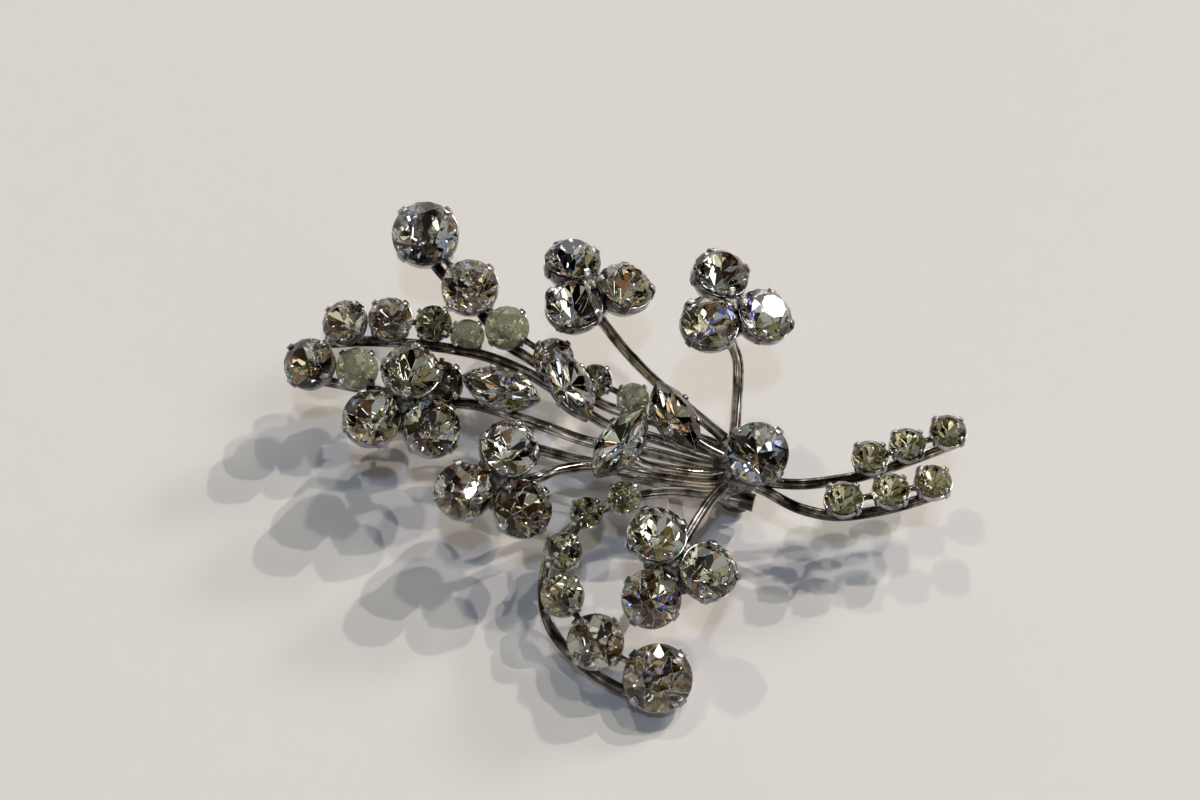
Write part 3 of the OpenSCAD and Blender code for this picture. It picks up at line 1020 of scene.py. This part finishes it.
@dataclass(frozen=True)
class Seat:
    """The place of one stone: the middle of its girdle, its width, and how its axis leans."""

    x: float
    y: float
    z: float
    width: float
    lean: float
    towards: float
    turn: float = 0

    @property
    def place(self) -> Matrix:
        """Gives the matrix that takes a setting from the origin to this seat."""
        return lean_towards((self.x, self.y, self.z), self.lean, self.towards, self.turn)

    def below(self, depth: float) -> Vector:
        """Gives the point on the axis at a depth below the girdle."""
        return self.place @ Vector((0, 0, -depth))


@dataclass
class Shelf:
    """Cups and stones that are modelled once each, and copied to every place that takes them."""

    models: dict[str, Piece] = field(default_factory=dict)

    def take(self, name: str, make: Callable[[], Piece]) -> Piece:
        """Gives a model, and has it made the first time.

        Args:
            name: Name of the model.
            make: Makes it.

        Returns:
            The model, at the origin.
        """
        if name not in self.models:
            self.models[name] = make()
        return self.models[name]

    def clear(self) -> None:
        """Removes the models once every copy is in place."""
        for model in self.models.values():
            bpy.data.objects.remove(model)
        self.models.clear()


@dataclass
class Workshop:
    """What the sub-assemblies share: the finishes, the stone cutter and the shelf of models."""

    kit: Finishes
    stones: CutStone = field(default_factory=CutStone)
    shelf: Shelf = field(default_factory=Shelf)
    leaf_length: float = 8.0
    foot_sink: float = 0.2
    link: float = 0.8
    link_drop: float = 0.2
    solder_skin: float = 0.16
    facet_turn: ClassVar[float] = 37.0
    olive: ClassVar[frozenset[str]] = frozenset(
        {"spray_b_stone_3", "spray_c_stone_3"}
        | {f"spray_d_stone_{i}" for i in range(1, 5)}
        | {f"tail_stone_{i}" for i in range(1, 7)}
    )
    cloudy: ClassVar[frozenset[str]] = frozenset(
        {"spray_a_stone_3", "spray_a_stone_6", "spray_b_stone_4", "spray_c_stone_2"}
    )

    def tone_of(self, node: str) -> Tone:
        """Says how a stone has aged.

        Args:
            node: The stone's CAD node.

        Returns:
            Its tone.
        """
        if node in self.olive:
            return Tone.OLIVE
        return Tone.CLOUDY if node in self.cloudy else Tone.CLEAR

    def set_round(self, node: str, width: float, place: Matrix, number: int) -> None:
        """Sets a round stone, turned about its axis so that no two neighbours sparkle alike.

        Args:
            node: The CAD node that the stone stands for.
            width: Width of the stone.
            place: The place of the girdle's middle.
            number: How many times the stone is turned by the usual angle.
        """
        outline = self.stones.round_outline(width)
        model = self.shelf.take(f"round_stone_{width:g}", lambda: self.stones.cut(outline, width))
        twist = place @ turned(self.facet_turn * number)
        self.stones.set_stone(node, model, twist, self.tone_of(node), self.kit)

    def set_leaf(self, node: str, seat: Seat) -> None:
        """Sets a pointed oval stone.

        Args:
            node: The CAD node that the stone stands for.
            seat: Its place.
        """
        outline = self.stones.leaf_outline(self.leaf_length, seat.width)
        model = self.shelf.take("leaf_stone", lambda: self.stones.cut(outline, seat.width))
        self.stones.set_stone(node, model, seat.place, self.tone_of(node), self.kit)

    def round_cup(self, width: float, place: Matrix, first_claw: float) -> Piece:
        """Makes a round cup with its first claw at a compass angle.

        Args:
            width: Width of the stone.
            place: The place of the girdle's middle.
            first_claw: The compass angle.

        Returns:
            The plated cup.
        """
        name = f"round_cup_{width:g}_{first_claw:g}"
        model = self.shelf.take(name, lambda: ClawCup(width).round_cup(first_claw))
        return copy_of(model, place, (self.kit.plate, self.kit.seat))

    def round_cups(self, seats: Sequence[Seat]) -> list[Piece]:
        """Makes the round cups of a chain, with claws between the compass points."""
        return [self.round_cup(seat.width, seat.place, first_claw=45) for seat in seats]

    def leaf_cup(self, seat: Seat) -> Piece:
        """Makes a pointed oval cup."""
        model = self.shelf.take("leaf_cup", lambda: ClawCup(seat.width).leaf_cup(self.leaf_length))
        return copy_of(model, seat.place, (self.kit.plate, self.kit.seat))

    def solder_post(self, seat: Seat, wire: Route, diameter: float = 1.5) -> Piece:
        """Makes a soldered post from the foot of a cup to the nearest point of a wire.

        Args:
            seat: The place of the cup's stone.
            wire: Points on the wire.
            diameter: Diameter of the post.

        Returns:
            The post.
        """
        foot = seat.below(ClawCup(seat.width).depth - self.foot_sink)
        nearest = min(wire, key=lambda point: (Vector(point) - foot).length)
        return RoundWire((foot, nearest), diameter, waist=0.85, steps=4).model()

    def links(self, seats: Sequence[Seat]) -> list[Piece]:
        """Makes the short links between the neighbours of a chain.

        Args:
            seats: The places of the chain's stones.

        Returns:
            A link for each gap between two cups.
        """
        made = []
        inside = ClawCup.gap + ClawCup.wall / 2
        for one, other in zip(seats, seats[1:]):
            start, end = (seat.below(self.link_drop * seat.width) for seat in (one, other))
            along = (end - start).normalized()
            start += along * (one.width / 2 + inside)
            end -= along * (other.width / 2 + inside)
            if (end - start).dot(along) > 0:
                made.append(RoundWire((start, end), self.link, waist=0.8, steps=3).model())
        return made

    def flow_solder(self, lumps: Sequence[tuple[Vector, float]], node: str, name: str) -> None:
        """Models solder as lumps that have flowed into one skin.

        Args:
            lumps: The middle and the radius of each lump.
            node: The CAD node that the solder is part of.
            name: Name of the piece.
        """
        made = []
        for middle, radius in lumps:
            bpy.ops.mesh.primitive_ico_sphere_add(subdivisions=3, radius=radius, location=middle)
            made.append(settled())
        solder = join(made, name)
        finish_with(solder, "REMESH", mode="VOXEL", voxel_size=self.solder_skin)
        finish_with(solder, "SMOOTH", factor=0.5, iterations=6)
        smooth(solder, degrees=60)
        solder.data.materials.append(self.kit.solder)
        hand_over(solder, node)

    def finish_metal(self, parts: Sequence[Piece], node: str) -> None:
        """Joins and dresses the metal of a branch, and puts it in its CAD node's place.

        Args:
            parts: The cups, wires and posts.
            node: The CAD node that they stand for.
        """
        for part in parts:
            if not part.data.materials:
                part.data.materials.append(self.kit.wire)
        hand_over(join(parts, node.removesuffix("_setting") + "_metalwork"), node)


@dataclass
class Chain:
    """A wire with a row of stones that grow towards its tip.

    All its stones are linked to their neighbours, or only the first few.
    """

    name: str
    seats: tuple[Seat, ...]
    route: Route
    linked: int | None = None

    def parts(self, shop: Workshop) -> list[Piece]:
        """Makes the chain's metal parts.

        Args:
            shop: The workshop that makes its cups and sets its stones.

        Returns:
            The cups, links, posts and the wire.
        """
        wire = RoundWire(self.route)
        made = shop.round_cups(self.seats) + shop.links(self.seats[: self.linked])
        made += [shop.solder_post(seat, wire.path()) for seat in self.seats]
        return made + [wire.model()]

    def set_stones(self, shop: Workshop, first: int = 1) -> None:
        """Sets the chain's stones, with their numbers from the first one on."""
        for number, seat in enumerate(self.seats, first):
            shop.set_round(f"{self.name}_stone_{number}", seat.width, seat.place, number)


@dataclass
class Leaf:
    """A pointed oval stone in its cup, on a wire of its own or on a post."""

    number: int
    seat: Seat
    route: Route = ()
    diameter: float = 1.2
    post_to: Point | None = None

    def parts(self, shop: Workshop) -> list[Piece]:
        """Makes the leaf's metal parts and sets its stone.

        Args:
            shop: The workshop that makes its cups and sets its stones.

        Returns:
            The cup, and its wire or post.
        """
        made = [shop.leaf_cup(self.seat)]
        if self.route:
            made.append(RoundWire(self.route, self.diameter).model())
        if self.post_to:
            made.append(shop.solder_post(self.seat, [self.post_to]))
        shop.set_leaf(f"leaf_stone_{self.number}", self.seat)
        return made


@dataclass
class Trefoil:
    """Three round stones in cups that share a disc, on a curved wire.

    The middle has lumps of solder by height and radius. Each notch has more of them, by distance
    from the middle, height and radius.
    """

    number: int
    seat: Seat
    cup_lean: float
    cup_towards: float
    route: Route
    reach: float = 3.8
    splay: float = 8.0
    disc_share: float = 0.72
    disc_under: float = 0.3
    disc_over: float = 0.7
    middle_lumps: ClassVar[Sequence[tuple[float, float]]] = ((-2.0, 1.1), (-1.2, 1.0), (-0.3, 0.8))
    notch_lumps: ClassVar[Sequence[Point]] = ((0.7, 0.0, 0.4), (1.9, -1.0, 0.5), (2.5, -1.9, 0.6))

    def set_solder(self, shop: Workshop, node: str) -> None:
        """Fills the middle of the trefoil, and the notch between each two cups, with solder.

        Args:
            shop: The workshop that flows the solder.
            node: The CAD node that the solder is part of.
        """
        lumps = [(self.seat.place @ Vector((0, 0, z)), radius) for z, radius in self.middle_lumps]
        for notch in (60, 180, 300):
            way = self.seat.place @ turned(notch)
            lumps += [(way @ Vector((out, 0, z)), radius) for out, z, radius in self.notch_lumps]
        shop.flow_solder(lumps, node, f"trefoil_{self.number}_solder")

    def petals(self) -> list[Matrix]:
        """Gives the places of the three cups, which lean less or more than their disc.

        Returns:
            The places, anticlockwise.
        """
        places = []
        for petal in (0, 120, 240):
            centre = self.seat.place @ turned(petal) @ Vector((self.reach, 0, 0))
            leaning = lean_towards(centre, self.cup_lean, self.cup_towards, self.seat.turn)
            places.append(leaning @ turned(petal) @ turned(self.splay, "Y"))
        return places

    def parts(self, shop: Workshop) -> list[Piece]:
        """Makes the trefoil's metal parts and sets its stones.

        Args:
            shop: The workshop that makes its cups and sets its stones.

        Returns:
            The cups, the disc and the wire.
        """
        width = self.seat.width
        made = []
        for i, place in enumerate(self.petals(), 1):
            made.append(shop.round_cup(width, place, first_claw=0))
            shop.set_round(f"trefoil_{self.number}_stone_{i}", width, place, 3 * self.number + i)
        depth = ClawCup(width).depth
        ends = ((0, 0, -depth - self.disc_under), (0, 0, -depth + self.disc_over))
        disc = RoundWire(ends, 2 * self.disc_share * self.reach, steps=2).model()
        disc.data.transform(self.seat.place)
        return [*made, disc, RoundWire(self.route).model()]

    def build(self, shop: Workshop) -> None:
        """Builds a trefoil that has a CAD node of its own.

        Args:
            shop: The workshop that makes its cups and sets its stones.
        """
        node = f"trefoil_{self.number}_setting"
        shop.finish_metal(self.parts(shop), node)
        self.set_solder(shop, node)


@dataclass
class Hub:
    """The solder joint that every wire runs into, with the setting on it and two leaves.

    Its lumps of solder are given by place and radius.
    """

    centre: Seat
    leaves: tuple[Leaf, ...]
    lumps: tuple[tuple[float, float, float, float], ...]
    stem: Point = (12.2, -2.6, 9.0)
    post: float = 2.5
    turn: int = 2

    def build(self, shop: Workshop) -> None:
        """Builds the metal, the solder and the centre stone.

        Args:
            shop: The workshop that makes its cups and sets its stones.
        """
        parts = shop.round_cups([self.centre])
        parts.append(shop.solder_post(self.centre, [self.stem], self.post))
        for leaf in self.leaves:
            parts += leaf.parts(shop)
        shop.finish_metal(parts, "hub_setting")
        shop.set_round("centre_stone", self.centre.width, self.centre.place, self.turn)
        lumps = [(Vector(lump[:3]), lump[3]) for lump in self.lumps]
        shop.flow_solder(lumps, "hub_setting", "hub_solder")


@dataclass
class PinBack:
    """The bar, its two feet and the pin wire behind the hub.

    The bar is a tube up to a share of its length, and a thinner rod from there on. An arm carries
    it on the hub.
    """

    right: tuple[float, float] = (14, -4)
    left: tuple[float, float] = (-14, 3.9)
    bar_height: float = 4.2
    tube: float = 2.0
    tube_share: float = 0.5
    rod: float = 1.2
    pin: float = 0.9
    pin_beside: float = 1.6
    hinge_share: float = 0.08
    catch_share: float = 0.93
    foot_height: float = 1.5
    foot_beside: float = 2.5
    foot_half: float = 2.0
    leg: float = 1.6
    arm: float = 1.8
    arm_share: float = 0.11
    arm_end: Point = (11, -2.6, 8)

    def at(self, share: float, height: float, beside: float = 0) -> Point:
        """Gives a point beside the bar.

        Args:
            share: How far along the bar, from its right end.
            height: Height above the table.
            beside: Distance from the bar towards +Y.

        Returns:
            The point.
        """
        right, left = Vector(self.right), Vector(self.left)
        along = (left - right).normalized()
        spot = right.lerp(left, share)
        return (spot.x + along.y * beside, spot.y - along.x * beside, height)

    def foot_parts(self, share: float) -> list[Piece]:
        """Makes a round foot that lies across the bar, and the leg that carries it.

        Args:
            share: How far along the bar, from its right end.

        Returns:
            The foot and the leg.
        """
        low, beside = self.foot_height, self.foot_beside
        ends = [self.at(share, low, beside + half) for half in (self.foot_half, -self.foot_half)]
        leg = (self.at(share, low, beside), self.at(share, self.bar_height))
        return [
            RoundWire(ends, 2 * low, steps=2).model(),
            RoundWire(leg, self.leg, steps=3).model(),
        ]

    def build(self, shop: Workshop) -> None:
        """Builds the pin back.

        Args:
            shop: The workshop that dresses its metal.
        """
        shares = (0, self.tube_share, 1, self.arm_share)
        right, middle, left, shoulder = (self.at(share, self.bar_height) for share in shares)
        ends = (self.hinge_share, self.catch_share)
        pin = [self.at(share, self.foot_height, self.pin_beside) for share in ends]
        parts = [
            RoundWire((right, middle), self.tube, steps=8).model(),
            RoundWire((middle, left), self.rod, steps=8).model(),
            RoundWire((shoulder, self.arm_end), self.arm, steps=3).model(),
            RoundWire(pin, self.pin, steps=8).model(),
        ]
        parts += self.foot_parts(self.hinge_share) + self.foot_parts(self.catch_share)
        shop.finish_metal(parts, "pin_back")


# The photograph's stage


@dataclass
class Lamp:
    """One light of the studio: where its light comes from, its tone and its strength."""

    name: str
    towards: Point
    tone: str
    strength: float
    angle: float
    mirrored: bool = True


@dataclass
class Studio:
    """A pale table, soft light and the photograph's viewpoint.

    The stones mirror a room of panels, which is dimmer for the table and the shadows. Its
    brightest panels are lit tubes, and one round window glows in it.
    """

    target: Point = (-2.5, 6.5, 8.0)
    distance: float = 350.0
    elevation: float = 60.0
    lens: float = 97.65
    sensor: float = 36.0
    near: float = 10.0
    far: float = 20000.0
    table_size: float = 6000.0
    window: Point = (0.673, 0.514, 0.532)
    window_angle: float = 5.0
    window_fade: float = 1.25
    window_glow: float = 25.0
    window_tone: str = "#fffdf6"
    panel_scale: float = 2.0
    room_glow: float = 1.15
    room_glow_diffuse: float = 0.36
    tube_from: float = 0.82
    tube_edge: float = 0.01
    tube_glow: float = 0.9
    tube_tone: str = "#ffffff"
    backdrop: str = "#dbd7d2"
    panels: Stops = (
        (0.0, "#08080a"), (0.22, "#2c241c"), (0.32, "#5f4e3b"), (0.42, "#7f7c60"),
        (0.54, "#8d9090"), (0.66, "#c4bfaa"),
    )
    lamps: tuple[Lamp, ...] = (
        Lamp("back_lamp", (0.625, 0.445, 1.0), "#fff1ea", 0.75, 1.0),
        Lamp("far_back_lamp", (0.75, 0.685, 1.0), "#fff2e8", 0.81, 1.0),
        Lamp("high_back_lamp", (0.35, 0.35, 1.0), "#fff8e5", 0.44, 2.0),
        Lamp("left_lamp", (-0.25, 0.55, 1.0), "#fffbea", 0.4, 2.5),
        Lamp("bare_bulb", (0.0113, -0.0188, 0.9998), "#f4f7ff", 0.02, 0.2),
        Lamp("ceiling_lamp", (0.015, -0.235, 1.0), "#bed7ff", 0.48, 3.5, False),
    )

    def build_camera(self) -> None:
        """Stands the camera where the photograph was taken from."""
        camera_data = bpy.data.cameras.new("photo_camera")
        camera_data.lens = self.lens
        camera_data.sensor_width = self.sensor
        camera_data.clip_start = self.near * MM
        camera_data.clip_end = self.far * MM
        camera = bpy.data.objects.new("photo_camera", camera_data)
        tilt = math.radians(self.elevation)
        back = Vector((0, -math.cos(tilt), math.sin(tilt))) * self.distance
        camera.location = (Vector(self.target) + back) * MM
        camera.rotation_euler = (math.pi / 2 - tilt, 0, 0)
        bpy.context.scene.collection.objects.link(camera)
        bpy.context.scene.camera = camera

    def build_table(self, kit: Finishes) -> None:
        """Lays the table top.

        Args:
            kit: The shared materials.
        """
        deselect()
        bpy.ops.mesh.primitive_plane_add(size=self.table_size * MM)
        table = bpy.context.object
        table.name = "table_top"
        table.data.materials.append(kit.table)

    def build_lamps(self) -> None:
        """Hangs the lamps far away, so that their light is even over the table."""
        for lamp in self.lamps:
            light = bpy.data.lights.new(lamp.name, "SUN")
            light.energy = lamp.strength
            light.angle = math.radians(lamp.angle)
            light.color = colour(lamp.tone)[:3]
            holder = bpy.data.objects.new(lamp.name, light)
            holder.rotation_euler = Vector(lamp.towards).to_track_quat("Z", "Y").to_euler()
            holder.visible_glossy = lamp.mirrored
            bpy.context.scene.collection.objects.link(holder)

    def room_light(self, tree: Tree, way: Socket, rays: Any) -> Socket:
        """Gives the light of dim and bright panels, the brightest of them lit tubes.

        Args:
            tree: The world's node tree.
            way: The direction that is looked in.
            rays: What kind of ray looks.

        Returns:
            The light.
        """
        cells = add(tree, "ShaderNodeTexVoronoi", {"Vector": way, "Scale": self.panel_scale})
        split = add(tree, "ShaderNodeSeparateColor", {"Color": cells.outputs["Color"]})
        pick = split.outputs["Red"]
        tones = (*self.panels, (self.tube_from, self.tube_tone))
        panels = add(tree, "ShaderNodeValToRGB", {"Fac": pick}, tones, interpolation="CONSTANT")
        room = add(
            tree,
            "ShaderNodeMapRange",
            {
                "Value": rays["Is Diffuse Ray"],
                "To Min": self.room_glow,
                "To Max": self.room_glow_diffuse,
            },
        ).outputs["Result"]
        lit = add(
            tree,
            "ShaderNodeMapRange",
            {
                "Value": pick,
                "From Min": self.tube_from - self.tube_edge,
                "From Max": self.tube_from,
                "To Max": self.tube_glow,
            },
        ).outputs["Result"]
        mirrored = {0: lit, 1: rays["Is Glossy Ray"]}
        tubes = add(tree, "ShaderNodeMath", mirrored, operation="MULTIPLY").outputs["Value"]
        total = add(tree, "ShaderNodeMath", {0: room, 1: tubes}, operation="ADD").outputs["Value"]
        light = {"Color": panels.outputs["Color"], "Strength": total}
        return add(tree, "ShaderNodeBackground", light).outputs["Background"]

    def window_light(self, tree: Tree, way: Socket, rays: Any) -> Socket:
        """Gives the light of a round window with a soft edge, which only mirrors and glass show.

        Args:
            tree: The world's node tree.
            way: The direction that is looked in.
            rays: What kind of ray looks.

        Returns:
            The light.
        """
        mirrored = {"Value": rays["Is Diffuse Ray"], "To Min": self.window_glow, "To Max": 0.0}
        middle = Vector(self.window).normalized()
        facing = add(tree, "ShaderNodeVectorMath", {0: way, 1: middle}, operation="DOT_PRODUCT")
        window = add(
            tree,
            "ShaderNodeMapRange",
            {
                "Value": facing.outputs["Value"],
                "From Min": math.cos(math.radians(self.window_angle * self.window_fade)),
                "From Max": math.cos(math.radians(self.window_angle)),
                "To Max": add(tree, "ShaderNodeMapRange", mirrored).outputs["Result"],
            },
        )
        light = {"Color": colour(self.window_tone), "Strength": window.outputs["Result"]}
        return add(tree, "ShaderNodeBackground", light).outputs["Background"]

    def build_room(self) -> None:
        """Lights the room around: what the camera sees of it is plain, and the rest is panels."""
        world = bpy.data.worlds.new("studio")
        bpy.context.scene.world = world
        world.use_nodes = True
        tree = world.node_tree
        tree.nodes.clear()
        way = add(tree, "ShaderNodeTexCoord").outputs["Generated"]
        rays = add(tree, "ShaderNodeLightPath").outputs
        lights = {0: self.room_light(tree, way, rays), 1: self.window_light(tree, way, rays)}
        room = add(tree, "ShaderNodeAddShader", lights).outputs["Shader"]
        plain = {"Color": colour(self.backdrop), "Strength": 1.0}
        seen = add(tree, "ShaderNodeBackground", plain).outputs["Background"]
        mix = add(tree, "ShaderNodeMixShader", {"Fac": rays["Is Camera Ray"], 1: room, 2: seen})
        add(tree, "ShaderNodeOutputWorld", {"Surface": mix.outputs["Shader"]})

    def build(self, kit: Finishes) -> None:
        """Sets up the camera, the table, the lamps and the room.

        Args:
            kit: The shared materials.
        """
        self.build_camera()
        self.build_table(kit)
        self.build_lamps()
        self.build_room()
        scene = bpy.context.scene
        scene.view_settings.view_transform = "Standard"
        scene.cycles.glossy_bounces = 8
        scene.cycles.transmission_bounces = 12
        LOG.info("the studio has %d lamps", len(self.lamps))


# The brooch: where its stones sit and how its wires run


TREFOIL_WIDTH = 5.6
LEAF_WIDTH = 4.0

SPRAY_A = Chain(
    "spray_a",
    (
        Seat(-21.5, 24, 14, 6.7, 15, 270),
        Seat(-16.5, 17.5, 13.5, 5.6, 15, 280),
        Seat(-12.5, 13, 12.5, 4.2, 15, 270),
        Seat(-7.5, 9.5, 12, 3.8, 15, 270),
        Seat(-3, 7, 11.5, 3, 15, 270),
        Seat(1, 5, 11, 2.9, 15, 270),
    ),
    (
        (-21, 22.2, 11.4), (-19, 19.8, 11), (-16.4, 17.2, 10.7), (-14.6, 14.8, 10.4),
        (-13, 12.6, 10.1), (-9, 9.8, 9.8), (-2.2, 5.2, 9.3), (3, 3.4, 9.1), (8, 1.3, 9),
        (10.5, 0.1, 9.1),
    ),
)
SPRAY_B = Chain(
    "spray_b",
    (
        Seat(-30, 12.7, 14, 4.4, 25, 205),
        Seat(-25, 13.5, 13.5, 4.2, 12, 270),
        Seat(-20.5, 13.5, 12.5, 3.4, 20, 240),
        Seat(-16.8, 12.8, 11.1, 3.1, 15, 270),
    ),
    (
        (-31.5, 11.5, 11.6), (-27, 11.9, 11.3), (-22, 11.7, 10.9), (-18, 11.3, 10.5),
        (-14, 10.5, 10), (-9, 8.2, 9.4), (-2.2, 3.2, 8.9), (3, 1.5, 8.7), (8, -0.3, 8.6),
        (10.5, -1.1, 8.7),
    ),
)
SPRAY_C = Chain(
    "spray_c",
    (
        Seat(-33.7, 8.8, 12, 5, 20, 225),
        Seat(-28.5, 8.5, 11.5, 4, 15, 270),
        Seat(-19.5, 7, 11, 4.2, 15, 270),
    ),
    (
        (-33.5, 8.4, 9.4), (-28.5, 7.4, 9.2), (-23.5, 6.4, 9), (-19.5, 5.8, 9), (-16.5, 5.2, 9.5),
        (-13, 4, 9.8), (-8, 2.3, 9.4), (-3.5, 0.8, 8.9), (3, -0.3, 8.6), (8, -1.7, 8.5),
        (10.5, -2.2, 8.5),
    ),
    linked=2,
)
SPRAY_D = Chain(
    "spray_d",
    (
        Seat(0, -6.5, 10, 3, 25, 250),
        Seat(-4, -8, 9.5, 2.9, 20, 240),
        Seat(-6.5, -12, 8.5, 3.5, 20, 240),
        Seat(-6.5, -16.5, 7.2, 4, 20, 240),
        Seat(-3, -21, 5.4, 5.4, 20, 260),
        Seat(3.5, -24.5, 3.95, 6.7, 20, 270),
    ),
    (
        (2, -25.4, 1.4), (-0.4, -24.5, 1.3), (-3.6, -22.6, 1.9), (-6.8, -19.8, 3.1),
        (-8.3, -16.8, 4.4), (-8.3, -13, 5.4), (-6.8, -9.6, 6.4), (-2.5, -6.4, 7.2),
        (1.5, -4.9, 7.4), (5.2, -4.5, 7.4), (9, -4.9, 7.4), (11, -4.3, 7.7),
    ),
)
TAIL_UPPER = Chain(
    "tail",
    (Seat(26, -2, 11, 3.4, 5, 90), Seat(30, -0.5, 11, 3.4, 5, 90), Seat(34.4, 1.1, 11, 3.4, 5, 60)),
    (
        (34.8, 0.5, 8.8), (30, -1.5, 8.8), (26, -3, 8.8), (22.4, -3.8, 8.8), (18.5, -4.3, 8.9),
        (15, -4, 9), (12, -3, 8.9),
    ),
)
TAIL_LOWER = Chain(
    "tail",
    (Seat(23, -7, 11, 3.6, 5, 90), Seat(28, -6, 11, 3.5, 5, 90), Seat(32.5, -5, 11, 3.5, 5, 60)),
    (
        (32.6, -5.6, 8.8), (28.1, -7, 8.6), (22.8, -7.9, 8.6), (18.6, -6.9, 8.3), (15.2, -4.9, 8.3),
        (12, -3.2, 8.6),
    ),
)
LEAF_1 = Leaf(1, Seat(-13, 5.5, 12.4, LEAF_WIDTH, 15, 270, 343), post_to=(-13, 4, 9.8))
LEAF_2 = Leaf(2, Seat(-5.5, 4.5, 15, LEAF_WIDTH, 15, 0, 296), post_to=(-5.6, 5.8, 9.2))
LEAF_3 = Leaf(
    3,
    Seat(5.5, 1.5, 13.5, LEAF_WIDTH, 12, 0, 298),
    ((6.2, 0.6, 11.6), (8.3, -0.6, 10.6), (10.6, -1.4, 9.6)),
)
LEAF_4 = Leaf(
    4,
    Seat(-0.5, -1.5, 13, LEAF_WIDTH, 20, 220, 50),
    ((0.4, -1.8, 11.2), (2, -2.9, 10.8), (4.5, -3.4, 10.6), (8.5, -3.6, 10), (11, -2.8, 9.4)),
    1.08,
)
TREFOILS = (
    Trefoil(
        1,
        Seat(-23, 2.5, 14, TREFOIL_WIDTH, 25, 270, 80),
        12,
        315,
        ((-23, 4, 11), (-20.3, 4.7, 10.4), (-17.8, 5.1, 9.8), (-15, 4.8, 9.7)),
    ),
    Trefoil(
        2,
        Seat(-3.5, 17, 15, TREFOIL_WIDTH, 14, 58, 1),
        14,
        58,
        (
            (-3.5, 16.5, 11.9), (-2.2, 14.2, 11.5), (0.5, 10.5, 11.1), (3.8, 6.8, 10.8),
            (8, 3, 10.5), (10.7, 0.6, 10.1),
        ),
    ),
    Trefoil(
        3,
        Seat(11.5, 12, 19, TREFOIL_WIDTH, 16, 5, 348),
        16,
        5,
        (
            (10.4, 11.6, 16.6), (11.6, 9.4, 14.6), (12.2, 7.8, 13), (12.1, 5, 11), (11.9, 2.4, 9.9),
            (11.6, 0, 9.2),
        ),
    ),
    Trefoil(
        4,
        Seat(-13, -6.5, 13.5, TREFOIL_WIDTH, 27, 270, 73),
        16,
        306,
        (
            (-13, -5.1, 10.7), (-9.5, -4.5, 10.5), (-7, -3.3, 10.1), (-3.6, -2.5, 9.6),
            (0, -3, 9.2), (4, -3.6, 9.1), (8.5, -4, 8.7), (11, -3.8, 8.6),
        ),
    ),
    Trefoil(
        5,
        Seat(5, -16.5, 13.5, TREFOIL_WIDTH, 27, 270, 355),
        14,
        310,
        ((5, -15.1, 10.7), (6.5, -11.5, 10.1), (9.2, -6.4, 9.4), (11.4, -4, 9)),
    ),
)
HUB = Hub(
    Seat(14, -3, 13.5, 6, 20, 270),
    (LEAF_3, LEAF_4),
    ((11, -0.2, 9.1, 1.4), (11, -2, 8.9, 1.6), (11.4, -3.8, 8.6, 1.5), (13.3, -3.2, 8.7, 1.6)),
)
BRACE = RoundWire(((-19.8, 6.2, 9), (-19.5, 10.3, 10.4)), 0.5)


def main() -> None:
    """Builds the brooch and its stage in order."""
    logging.basicConfig(level=logging.INFO, format="%(message)s")
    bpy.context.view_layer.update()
    kit = Finishes()
    shop = Workshop(kit)
    Studio().build(kit)

    shop.finish_metal(SPRAY_A.parts(shop), "spray_a_setting")
    SPRAY_A.set_stones(shop)
    shop.finish_metal(SPRAY_B.parts(shop) + LEAF_2.parts(shop), "spray_b_setting")
    SPRAY_B.set_stones(shop)
    flower = TREFOILS[0]
    shop.finish_metal(
        SPRAY_C.parts(shop) + LEAF_1.parts(shop) + flower.parts(shop) + [BRACE.model()],
        "spray_c_setting",
    )
    SPRAY_C.set_stones(shop)
    flower.set_solder(shop, "spray_c_setting")
    shop.finish_metal(SPRAY_D.parts(shop), "spray_d_setting")
    SPRAY_D.set_stones(shop)
    shop.finish_metal(TAIL_UPPER.parts(shop) + TAIL_LOWER.parts(shop), "tail_setting")
    TAIL_UPPER.set_stones(shop)
    TAIL_LOWER.set_stones(shop, 4)
    for trefoil in TREFOILS[1:]:
        trefoil.build(shop)
    HUB.build(shop)
    PinBack().build(shop)
    shop.shelf.clear()


if __name__ == "__main__":
    main()
